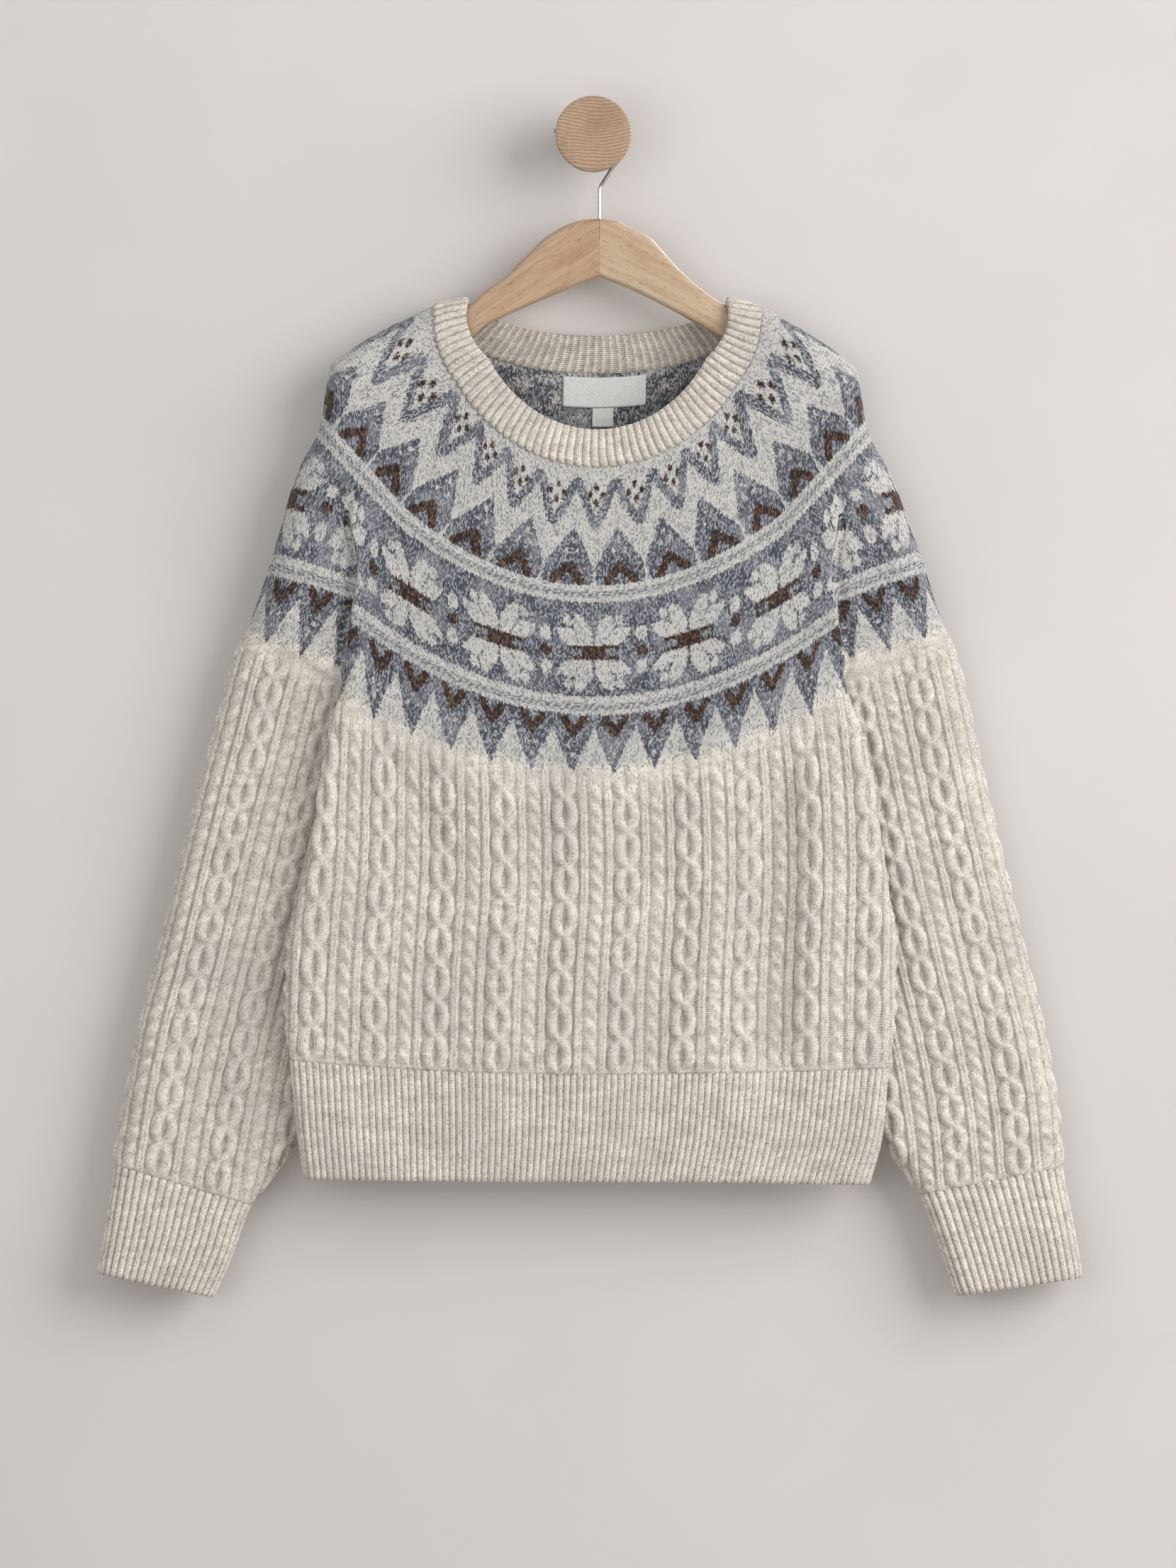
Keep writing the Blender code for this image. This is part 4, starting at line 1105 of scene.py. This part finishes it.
def panel_skin(cloth):
    """A panel's outer cloth with its pattern, its cables and painted shade in its hollows, over a
    plainer wrong side that has painted shade all over.
    """
    skin = Skin()
    runs = rows_between(NECK, cloth.END, ROW_TALL)
    run, across = sheet_grid(cloth, runs, cloth.COLUMNS)
    # depth is the painted shade in the hollows between the cables and beside the ribs.
    cables, aside, depth = cable_relief(across, run, cloth.WAVE_AT, cloth.END)
    chart = chart_place(cloth, run, across)
    marl = marled_lines(chart[0])
    pattern = yoke_pattern(*chart)
    lift = cables + marled_welt(chart[0]) + creased(cloth, run, across)
    points = placed(cloth, runs, across, lift)
    stitches = np.stack([(across - aside) / STITCH_WIDE, run / STITCH_TALL], axis=2)
    outer = skin.grid(points, stitches, pattern, (depth, marl), cloth.hand < 0)

    runs = [*runs[:-1:INNER_STEP], runs[-1]]
    run, across = sheet_grid(cloth, runs, cloth.COLUMNS // INNER_STEP)
    blue, brown, pale = yoke_pattern(*chart_place(cloth, run, across))
    yoke = step((YOKE_END - run) / 8)
    drift = across * FLOAT_DRIFT[0] + run * FLOAT_DRIFT[1]
    beat = np.sin(2 * math.pi * run / FLOAT_PITCH) + np.sin(drift)
    floats = FLOAT_SHARE + FLOAT_SWING * beat + FLOAT_PATTERN * blue
    browns = FLOAT_BROWN[0] + FLOAT_BROWN[1] * brown
    pattern = (floats * yoke, browns * yoke, pale)
    # The wrong side gets painted shade all over.
    depth = np.full(run.shape, WRONG_SIDE_PAINTED_SHADE)
    points = placed(cloth, runs, across, creased(cloth, run, across) - CLOTH)
    stitches = np.stack([across / STITCH_WIDE, run / STITCH_TALL], axis=2)
    inner = skin.grid(points, stitches, pattern, (depth, 0 * depth), cloth.hand > 0)
    skin.close(outer, inner)
    return skin


def band_skin(ring, first, last, free_end, ribs, steps, thick, dark):
    """A ribbed band: raised ribs outside, and the same ribs seen from behind inside, with painted shade
    on the ribs and in the valleys between them.
    """
    skin = Skin()
    runs = rows_between(first, last, BAND_ROW_TALL)
    turns = np.linspace(0, 1, ribs * steps + 1)
    length = np.array([limits(ring, run)[1] for run in runs])[:, None]
    run = np.broadcast_to(np.array(runs)[:, None], (len(runs), len(turns)))
    across = turns[None, :] * length
    beat = 0.5 - 0.5 * np.cos(2 * math.pi * turns * ribs)[None, :] + 0 * run
    edge = step(np.abs(run - free_end) / FREE_END)
    plain = [0 * run for _ in range(3)]
    lift = EDGE_RIB_HEIGHT * beat**EDGE_RIB_FLAT
    lift = lift * (FREE_END_HEIGHT + (1 - FREE_END_HEIGHT) * edge)
    stitches = np.stack([2 * turns[None, :] * ribs + 0 * run + 0.5, run / STITCH_TALL], axis=2)
    # dark holds the painted shade on the ribs and in the valleys. On the inside the two swap.
    painted_shade_on_rib, painted_shade_in_valley = dark
    rib = step(beat * EDGE_VALLEY)
    points = placed(ring, runs, across, lift)
    marks = (painted_shade_in_valley + (painted_shade_on_rib - painted_shade_in_valley) * rib, 0 * run)
    outer = skin.grid(points, stitches, plain, marks, ring.hand < 0)
    points = placed(ring, runs, across, -thick + EDGE_RIB_HEIGHT * INNER_RIB_SHARE * beat)
    marks = (painted_shade_on_rib + (painted_shade_in_valley - painted_shade_on_rib) * rib, 0 * run)
    inner = skin.grid(points, stitches, plain, marks, ring.hand > 0)
    skin.rim(outer[0], inner[0])
    skin.rim(outer[-1], inner[-1])
    return skin


def linear(code):
    """A colour as the shader takes it, from its usual six-figure code."""
    values = [int(code[i : i + 2], 16) / 255 for i in (0, 2, 4)]
    return (*(v / 12.92 if v <= 0.04045 else ((v + 0.055) / 1.055) ** 2.4 for v in values), 1.0)


class Finish:
    """A material's node tree, written from the input side to the shader."""

    def __init__(self, name, roughness, **constants):
        self.material = bpy.data.materials.new(name)
        self.material.use_nodes = True
        self.tree = self.material.node_tree
        self.shader = self.tree.nodes["Principled BSDF"]
        self.shader.inputs["Roughness"].default_value = roughness
        for socket, value in constants.items():
            self.shader.inputs[socket.replace("_", " ")].default_value = value

    def node(self, kind, values=None, **settings):
        made = self.tree.nodes.new("ShaderNode" + kind)
        for name, value in settings.items():
            setattr(made, name, value)
        for socket, value in (values or {}).items():
            self.feed(made.inputs[socket], value)
        return made

    def feed(self, socket, value):
        """Gives an input another node's output, a number or a colour's code."""
        if isinstance(value, bpy.types.NodeSocket):
            self.tree.links.new(value, socket)
        else:
            socket.default_value = linear(value) if isinstance(value, str) else value

    def math(self, operation, a, b=0.0, c=0.0):
        return self.node("Math", {0: a, 1: b, 2: c}, operation=operation).outputs[0]

    def mix(self, share, a, b, blend="MIX"):
        values = {"Factor": share, 6: a, 7: b}
        return self.node("Mix", values, data_type="RGBA", blend_type=blend).outputs[2]

    def ramp(self, value, low, high, to_low=0.0, to_high=1.0):
        values = {0: value, 1: low, 2: high, 3: to_low, 4: to_high}
        return self.node("MapRange", values, interpolation_type="SMOOTHSTEP").outputs[0]

    def noise(self, place, scale, detail=2.0, roughness=0.5, stretch=None):
        if stretch:
            place = self.node("VectorMath", {0: place, 1: stretch}, operation="MULTIPLY").outputs[0]
        values = {"Vector": place, "Scale": scale, "Detail": detail, "Roughness": roughness}
        return self.node("TexNoise", values).outputs[0]

    def where(self):
        return self.node("TexCoord").outputs["Object"]

    def attribute(self, name):
        """The three parts of a point attribute."""
        vector = self.node("Attribute", attribute_name=name).outputs["Vector"]
        return self.node("SeparateXYZ", {0: vector}).outputs

    def colour(self, value):
        self.feed(self.shader.inputs["Base Color"], value)

    def bump(self, height, distance, strength=1.0, under=None):
        values = {"Strength": strength, "Distance": distance, "Height": height}
        if under is not None:
            values["Normal"] = under
        made = self.node("Bump", values).outputs[0]
        self.feed(self.shader.inputs["Normal"], made)
        return made


def wool():
    """Brushed knit. The yarn's colour, stitches, marled lines and the shade painted into its valleys
    and over its wrong side come from attributes.
    """
    f = Finish(
        "brushed_wool",
        0.92,
        Specular_IOR_Level=0.15,
        Sheen_Weight=0.12,
        Sheen_Roughness=0.5,
        Sheen_Tint=(1.0, 0.97, 0.93, 1.0),
    )
    place = f.where()
    blue, brown, pale = f.attribute("pattern")
    # depth is the painted shade, which also turns the stitch bump into rows like purl.
    depth, marl, _ = f.attribute("marks")
    wale, course, _ = f.attribute("stitch")

    side = f.math("ABSOLUTE", f.math("SUBTRACT", f.math("MULTIPLY", f.math("FRACT", wale), 2.0), 1.0))
    lean = f.math("ADD", course, f.math("MULTIPLY", side, 0.55))
    beat = f.math("SINE", f.math("MULTIPLY", lean, 2 * math.pi))
    leg = f.math("SINE", f.math("MULTIPLY", side, math.pi))
    stitch = f.math("MULTIPLY", f.math("ADD", f.math("MULTIPLY", beat, 0.5), 0.5), leg)
    rung = f.math("SINE", f.math("MULTIPLY", course, 2 * math.pi))
    leg_number = f.math("FLOOR", f.math("MULTIPLY", wale, 2.0))
    cell = f.node("CombineXYZ", {0: leg_number, 1: f.math("FLOOR", lean)})
    chance = f.node("TexWhiteNoise", {0: cell.outputs[0]}, noise_dimensions="2D").outputs[0]
    chance = f.math("SUBTRACT", chance, 0.5)

    fuzz = f.noise(place, 2100.0, 3.0, 0.7)
    fibre = f.noise(place, 900.0, 4.0, 0.75, (2.0, 1.0, 1.0))
    cloud = f.noise(place, 95.0, 3.0, 0.6, (0.6, 1.0, 1.6))
    drift = f.noise(place, 16.0, 2.0, 0.5)
    patch = f.noise(place, 38.0, 2.0, 0.5)

    wobble = f.math("MULTIPLY_ADD", f.math("SUBTRACT", fuzz, 0.5), 1.3, f.math("MULTIPLY", beat, 0.07))
    wobble = f.math("MULTIPLY_ADD", chance, 0.3, wobble)

    def edge(share, low=0.36, high=0.64):
        return f.ramp(f.math("ADD", share, wobble), low, high)

    mixed = f.math("MULTIPLY_ADD", chance, 0.6, fibre)
    stray = f.math("MULTIPLY_ADD", chance, -0.6, fuzz)
    cream = f.mix(f.ramp(cloud, 0.32, 0.68), "FFFBF0", "E6DFD4")
    cream = f.mix(f.ramp(drift, 0.4, 0.66, 0.0, 0.5), cream, "DEDAD6")
    cream = f.mix(f.ramp(mixed, 0.56, 0.86, 0.0, 0.54), cream, "939093")
    heather = f.mix(f.ramp(mixed, 0.5, 0.82), "DCDAD6", "8C9099")
    heather = f.mix(f.ramp(cloud, 0.4, 0.75, 0.0, 0.3), heather, "BFBFC1")
    slate = f.mix(f.ramp(mixed, 0.3, 0.66), "8A8E99", "484C57")
    slate = f.mix(f.ramp(patch, 0.46, 0.68, 0.0, 0.36), slate, "A9ADB5")
    slate = f.mix(f.ramp(stray, 0.52, 0.86, 0.0, 0.72), slate, "C2C5CA")
    dark = f.mix(f.ramp(mixed, 0.3, 0.65), "5A4236", "2C1F19")
    dark = f.mix(f.ramp(stray, 0.58, 0.9, 0.0, 0.5), dark, "9A8F87")
    turn = f.math("ADD", wale, f.math("MULTIPLY", course, 0.5))
    twist = f.math("SINE", f.math("MULTIPLY", turn, 3.1))
    along = {0: f.math("MULTIPLY", wale, 0.6), 1: f.math("MULTIPLY", course, 1.5)}
    strand = f.noise(f.node("CombineXYZ", along).outputs[0], 1.0, 3.0, 0.6)
    flecked = f.math("MULTIPLY_ADD", twist, 0.04, strand)
    speckled = f.mix(f.ramp(flecked, 0.4, 0.62), "737883", "DAD8D4")

    colour = f.mix(edge(pale), cream, heather)
    colour = f.mix(edge(marl), colour, speckled)
    colour = f.mix(edge(blue), colour, slate)
    colour = f.mix(edge(brown), colour, dark)
    # Painted shade in the valleys and on the wrong side, stronger between the rows of stitches, in a
    # warm grey.
    painted_shade_share = f.math("MULTIPLY", depth, f.ramp(rung, -0.6, 0.9, 0.45, 1.0))
    colour = f.mix(painted_shade_share, colour, "A3988F", "MULTIPLY")
    # Painted shade in the grooves between the legs of each stitch and between neighbouring stitches.
    painted_groove_shade = f.math("SUBTRACT", 1.0, leg)
    colour = f.mix(f.math("MULTIPLY", painted_groove_shade, 0.4), colour, "7F7772", "MULTIPLY")
    f.colour(colour)

    knit = f.mix(depth, stitch, f.math("MULTIPLY", rung, 0.5))
    low = f.bump(knit, 0.001, 0.85)
    f.bump(f.math("ADD", fuzz, fibre), 0.0012, 0.7, low)
    return f.material


def satin():
    f = Finish("label_weave", 0.42, Sheen_Weight=0.15)
    place = f.where()
    weave = f.node("TexWave", {"Vector": place, "Scale": 900.0, "Distortion": 0.3}, bands_direction="Z")
    grain = f.noise(place, 500.0, 3.0, 0.6)
    f.colour(f.mix(f.ramp(grain, 0.3, 0.7), "BDBDBB", "AFAFAD"))
    f.bump(f.math("ADD", weave.outputs["Fac"], grain), 0.0002, 0.5)
    return f.material


def beech():
    """Planed beech: soft bands of growth and short dark flecks that run along each arm."""
    f = Finish("planed_beech", 0.45, Coat_Weight=0.1, Coat_Roughness=0.35)
    place = f.where()
    x, y, z = f.node("SeparateXYZ", {0: place}).outputs
    out = f.math("ABSOLUTE", f.math("SUBTRACT", x, HANGER_X * MM))
    left_arm = f.math("LESS_THAN", x, HANGER_X * MM)
    slope = f.math("MULTIPLY_ADD", left_arm, 0.12, 0.5)
    cross = f.math("MULTIPLY_ADD", out, slope, z)
    deep = f.math("MULTIPLY_ADD", left_arm, 0.3, y)
    grain = f.node("CombineXYZ", {0: out, 1: deep, 2: cross}).outputs[0]
    bands = f.noise(grain, 60.0, 3.0, 0.55, (0.12, 0.6, 1.0))
    streaks = f.noise(grain, 260.0, 3.0, 0.6, (0.1, 0.6, 1.0))
    flecks = f.noise(grain, 700.0, 2.0, 0.5, (0.22, 0.7, 1.0))
    colour = f.mix(f.ramp(bands, 0.3, 0.7), "A6937C", "9B856C")
    colour = f.mix(f.ramp(streaks, 0.35, 0.7, 0.0, 0.6), colour, "876C50")
    colour = f.mix(f.ramp(flecks, 0.6, 0.7, 0.0, 0.55), colour, "674F39")
    colour = f.mix(f.math("MULTIPLY", left_arm, 0.5), colour, "E3CDB8", "MULTIPLY")
    f.colour(colour)
    f.feed(f.shader.inputs["Roughness"], f.ramp(streaks, 0.3, 0.7, 0.4, 0.55))
    f.bump(f.math("ADD", flecks, streaks), 0.0002, 0.4)
    return f.material


def turned_beech():
    """The knob's face: level wavy lines of growth, crossed by fine upright rays."""
    f = Finish("turned_beech", 0.5, Coat_Weight=0.08, Coat_Roughness=0.4)
    place = f.where()
    x, y, z = f.node("SeparateXYZ", {0: place}).outputs
    sway = f.noise(place, 30.0, 2.0, 0.5)
    bow = f.math("MULTIPLY", f.math("MULTIPLY", x, x), -5.0)
    height = f.math("ADD", f.math("MULTIPLY_ADD", sway, 0.009, z), bow)
    growth = f.math("SINE", f.math("MULTIPLY", height, 2 * math.pi / 0.0026))
    growth = f.math("MULTIPLY_ADD", growth, 0.5, 0.5)
    fine = f.noise(place, 900.0, 2.0, 0.6, (0.2, 0.6, 1.0))
    rays = f.noise(place, 900.0, 2.0, 0.6, (1.0, 0.6, 0.12))
    colour = f.mix(f.ramp(sway, 0.3, 0.7), "957C65", "876D56")
    colour = f.mix(f.ramp(growth, 0.55, 1.0, 0.0, 0.6), colour, "5D4533")
    colour = f.mix(f.ramp(fine, 0.5, 0.7, 0.0, 0.5), colour, "6B5241")
    colour = f.mix(f.ramp(rays, 0.55, 0.7, 0.0, 0.35), colour, "9B8672")
    f.colour(colour)
    f.feed(f.shader.inputs["Roughness"], f.ramp(growth, 0.2, 0.9, 0.45, 0.6))
    f.bump(f.math("ADD", growth, rays), 0.0001, 0.5)
    return f.material


def steel():
    f = Finish("polished_wire", 0.2, Metallic=1.0)
    drawn = f.noise(f.where(), 900.0, 3.0, 0.6, (1.0, 1.0, 0.3))
    f.colour(f.mix(f.ramp(drawn, 0.3, 0.7), "B4B1AC", "8A8783"))
    f.feed(f.shader.inputs["Roughness"], f.ramp(drawn, 0.3, 0.7, 0.16, 0.3))
    f.bump(drawn, 0.00005, 0.3)
    return f.material


def plaster(name, code):
    """Painted wall or floor."""
    f = Finish(name, 0.9)
    place = f.where()
    patch = f.noise(place, 3.0, 3.0, 0.5)
    grain = f.noise(place, 700.0, 2.0, 0.6)
    f.colour(f.mix(f.ramp(patch, 0.3, 0.7, 0.0, 0.25), code, "A19E9D"))
    f.bump(grain, 0.0002, 0.15)
    return f


def label_skin(back, sizes):
    """A woven label, with its edges turned under."""
    middle, half, first, last = sizes
    skin = Skin()
    runs = [round(first + (last - first) * k / LABEL_ROWS, 3) for k in range(LABEL_ROWS + 1)]
    across = np.linspace(middle - half, middle + half, LABEL_COLUMNS)
    run = np.broadcast_to(np.array(runs)[:, None], (len(runs), len(across)))
    wide = np.broadcast_to(across, run.shape)
    from_edge = np.minimum(half - np.abs(wide - middle), np.minimum(run - first, last - run))
    hem = LABEL_HEM * soft(LABEL_HEM_WIDE - from_edge, 0.8)
    zero = [0 * run for _ in range(3)]
    stitches = np.stack([wide, run], axis=2)
    sides = []
    for deep, near in ((CLOTH + SEAM_GAP, True), (CLOTH + SEAM_GAP + LABEL_CLOTH, False)):
        lift = -deep + (0 if near else -1) * hem
        points = np.array([place(back, r, across, lift[i]) for i, r in enumerate(runs)])
        sides.append(skin.grid(points, stitches, zero, zero[:2], near))
    skin.close(*sides)
    return skin


def loft(name, rings, material):
    """A closed solid over rings of points that all have the same number of sides."""
    shape = bmesh.new()
    made = [[shape.verts.new(np.array(point) * MM) for point in ring] for ring in rings]
    sides = len(rings[0])
    for a, b in zip(made, made[1:]):
        for k in range(sides):
            after = (k + 1) % sides
            shape.faces.new((a[k], a[after], b[after], b[k]))
    shape.faces.new(made[0])
    shape.faces.new(made[-1])
    bmesh.ops.recalc_face_normals(shape, faces=shape.faces)
    mesh = bpy.data.meshes.new(name)
    shape.to_mesh(mesh)
    shape.free()
    mesh.shade_smooth()
    mesh.set_sharp_from_angle(angle=math.radians(40))
    return added(name, mesh, material)


def arm_section(x, top, low):
    """A ring round the arm, a rectangle with rounded corners."""
    ring = []
    for sign, z, last in (
        (1, top - HANGER_EDGE, 90),
        (-1, top - HANGER_EDGE, 180),
        (-1, low + HANGER_EDGE, 270),
        (1, low + HANGER_EDGE, 360),
    ):
        for angle in range(last - 90, last + 1, 15):
            turn = math.radians(angle)
            across = sign * (HANGER_HALF_THICK - HANGER_EDGE) + HANGER_EDGE * math.cos(turn)
            ring.append((x, HANGER_Y + across, z + HANGER_EDGE * math.sin(turn)))
    return ring


def hanger_arm(name, sleeve, side, arm, material):
    """One arm, a smooth loft through its sections. Under the cloth it follows the cloth's inside."""
    sections = [(out, top, low) for out, top, low in arm]
    height = arm[-1][1] - arm[-1][2]
    under = [(run, NECKBAND_CLOTH + BAND_SLACK) for run in ARM_UNDER_BAND]
    under += [(run, CLOTH) for run in ARM_UNDER_SHOULDER]
    for run, cloth in under:
        share = (run - BAND_TOP) / (ARM_UNDER_SHOULDER[-1] - BAND_TOP)
        x, _, z = place(sleeve, run, np.array([0.0]), -cloth - SHOULDER_SLACK)[0]
        sections.append((side * (x - HANGER_X), z, z - height + (height - ARM_TIP_HEIGHT) * share))
    out, top, low = np.array(sections).T
    at = np.linspace(out[0], out[-1], int((out[-1] - out[0]) / ARM_STEP))
    tops = smooth(out, top, at)
    lows = smooth(out, low, at)
    rings = [arm_section(HANGER_X + side * o, t, b) for o, t, b in zip(at, tops, lows)]
    return loft(name, rings, material)


def knob_disc(material):
    """The knob, turned round the Y axis, with a flat face."""
    outline = [*KNOB_OUTLINE, *((radius, KNOB_OUTLINE[-1][1]) for radius in KNOB_RINGS)]
    turns = [2 * math.pi * k / KNOB_SIDES for k in range(KNOB_SIDES)]
    rings = [[(r * math.cos(t), y, r * math.sin(t)) for t in turns] for r, y in outline]
    return loft("knob_disc", rings, material)


def dress(name, skin, material, node):
    """Makes a cloth piece that stands for a CAD node, and hides the node."""
    piece = skin.build(name, material)
    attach(piece, "root")
    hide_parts(node)
    return piece


def plane(name, corners, material):
    mesh = bpy.data.meshes.new(name)
    mesh.from_pydata(corners, [], [(0, 1, 2, 3)])
    thing = added(name, mesh, material)
    return thing


def backdrop():
    """A wall seen only from the room, which casts no light or shadow, and a pale floor."""
    paint = plaster("wall_paint", "B3B0AF")
    front = paint.shader.outputs[0]
    clear = paint.node("BsdfTransparent").outputs[0]
    behind = paint.node("NewGeometry").outputs["Backfacing"]
    shown = paint.node("MixShader", {0: behind, 1: front, 2: clear}).outputs[0]
    paint.feed(paint.tree.nodes["Material Output"].inputs["Surface"], shown)
    wall = plane(
        "wall",
        [(-3, WALL_Y, -FLOOR_DROP), (3, WALL_Y, -FLOOR_DROP), (3, WALL_Y, 2), (-3, WALL_Y, 2)],
        paint.material,
    )
    for ray in ("visible_diffuse", "visible_glossy", "visible_transmission", "visible_shadow"):
        setattr(wall, ray, False)
    floor = [(-3, -4, -FLOOR_DROP), (3, -4, -FLOOR_DROP), (3, 3, -FLOOR_DROP), (-3, 3, -FLOOR_DROP)]
    plane("floor", floor, plaster("floor_paint", "A8A5A2").material)


def area_light(name, place, aim, size, watts, tint):
    lamp = bpy.data.lights.new(name, "AREA")
    lamp.shape = "DISK"
    lamp.size = size
    lamp.energy = watts
    lamp.color = tint
    thing = added(name, lamp)
    thing.location = place
    way = np.array(aim, float) - np.array(place, float)
    turn = math.atan2(way[1], way[0])
    drop = math.atan2(math.hypot(way[0], way[1]), -way[2])
    thing.rotation_euler = (drop, 0, turn - math.pi / 2)


def tones():
    """Shows the colours as they are lit, with no film curve over them."""
    view = bpy.context.scene.view_settings
    view.view_transform = "Standard"
    view.look = "None"
    view.exposure = EXPOSURE


def camera():
    """Square on to the wall, far off, framing 900 by 1200 mm like the photo."""
    lens = bpy.data.cameras.new("camera")
    lens.sensor_fit = "VERTICAL"
    lens.sensor_height = 36.0
    lens.lens = 36.0 * (CAMERA_FAR - PICTURE_PLANE) / PICTURE_TALL
    lens.clip_end = 50
    eye = added("camera", lens)
    eye.location = (PICTURE_CENTRE[0], -CAMERA_FAR, PICTURE_CENTRE[1])
    eye.rotation_euler = (math.pi / 2, 0, 0)
    bpy.context.scene.camera = eye


def world():
    sky = bpy.data.worlds.new("studio")
    sky.use_nodes = True
    sky.node_tree.nodes["Background"].inputs[0].default_value = (1.0, 0.985, 0.975, 1)
    sky.node_tree.nodes["Background"].inputs[1].default_value = AMBIENT
    bpy.context.scene.world = sky


front = Panel(FRONT, FRONT_FOLDS, FRONT_CREASES, 1, 1)
back = Panel(BACK, BACK_FOLDS, BACK_CREASES, -1, -1)
left = Sleeve(LEFT_SLEEVE, LEFT_CREASES, -1, front, back)
right = Sleeve(RIGHT_SLEEVE, RIGHT_CREASES, 1, front, back)
front.join((left, 0), (right, 0), (back, 0), (back, -1))
back.join((left, -1), (right, -1), (front, 0), (front, -1))
left.join((front, 0), (back, 0), (left, -1), (left, 0))
right.join((front, -1), (back, -1), (right, -1), (right, 0))

yarn = wool()
label_cloth = satin()

PANELS = (
    ("front_cloth", front, "front_panel", (0.5, 0.475), 0.196),
    ("back_cloth", back, "back_panel", (0.5, 0.475), 0.2),
    ("left_sleeve_cloth", left, "sleeve_left", (0.35, 0.66), 0.17),
    ("right_sleeve_cloth", right, "sleeve_right", (0.35, 0.66), 0.17),
)
for name, cloth, node, flat, area in PANELS:
    skin = panel_skin(cloth)
    dress(name, skin, yarn, node)

body_ring = Ring([(front, True), (back, False)])
neck_ring = Ring([(front, True), (right, True), (back, False), (left, False)])
left_cuff, right_cuff = Ring([(left, True)]), Ring([(right, True)])

# First and last run, free end, ribs round the band, points to a rib, thickness, and the painted shade
# on the ribs and in the valleys.
HEM = (BODY_END, HEM_END, HEM_END, HEM_RIBS, 6, CLOTH, BAND_PAINTED_SHADE)
CUFF = (SLEEVE_END, CUFF_END, CUFF_END, CUFF_RIBS, 8, CLOTH, BAND_PAINTED_SHADE)
COLLAR = (BAND_TOP, NECK, BAND_TOP, NECK_RIBS, 8, NECKBAND_CLOTH, NECK_PAINTED_SHADE)
BANDS = (
    ("hem_ribbing", body_ring, HEM, "hem_rib", (0.93, 0.088), "front_cloth"),
    ("left_cuff_ribbing", left_cuff, CUFF, "cuff_left", (0.23, 0.085), "left_sleeve_cloth"),
    ("right_cuff_ribbing", right_cuff, CUFF, "cuff_right", (0.23, 0.085), "right_sleeve_cloth"),
    ("neck_ribbing", neck_ring, COLLAR, "neckband", (0.62, 0.03), "hanger_arm_left"),
)
for name, ring, ribbing, node, flat, rests_on in BANDS:
    skin = band_skin(ring, *ribbing)
    dress(name, skin, yarn, node)

LABELS = (("main_label", MAIN_LABEL, "neck_label"), ("small_label", SIZE_LABEL, "size_label"))
for name, sizes, node in LABELS:
    flat = (2 * sizes[1] * MM, (sizes[3] - sizes[2]) * MM)
    skin = label_skin(back, sizes)
    dress(name, skin, label_cloth, node)

planed = beech()
WOODEN = (
    (hanger_arm("left_hanger_arm", left, -1, LEFT_ARM, planed), "hanger_arm_left", "beech"),
    (hanger_arm("right_hanger_arm", right, 1, RIGHT_ARM, planed), "hanger_arm_right", "beech"),
    (knob_disc(turned_beech()), "wall_knob", "knob_beech"),
)
for piece, node, finish in WOODEN:
    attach(piece, "root")
    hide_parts(node)
for slot in frame["nodes"]["hanger_hook"].material_slots:
    slot.material = steel()

backdrop()
camera()
tones()
world()
area_light("key", (2.9, -2.3, 0.7), (0, 0, -0.45), 3.2, 148, (1.0, 0.985, 0.965))
area_light("fill", (-1.4, -3.2, -0.9), (0, 0, -0.6), 3.0, 42, (1.0, 0.995, 0.985))
area_light("behind", (1.2, 2.4, 1.0), (0, 0, -0.45), 2.0, 50, (1.0, 0.98, 0.95))
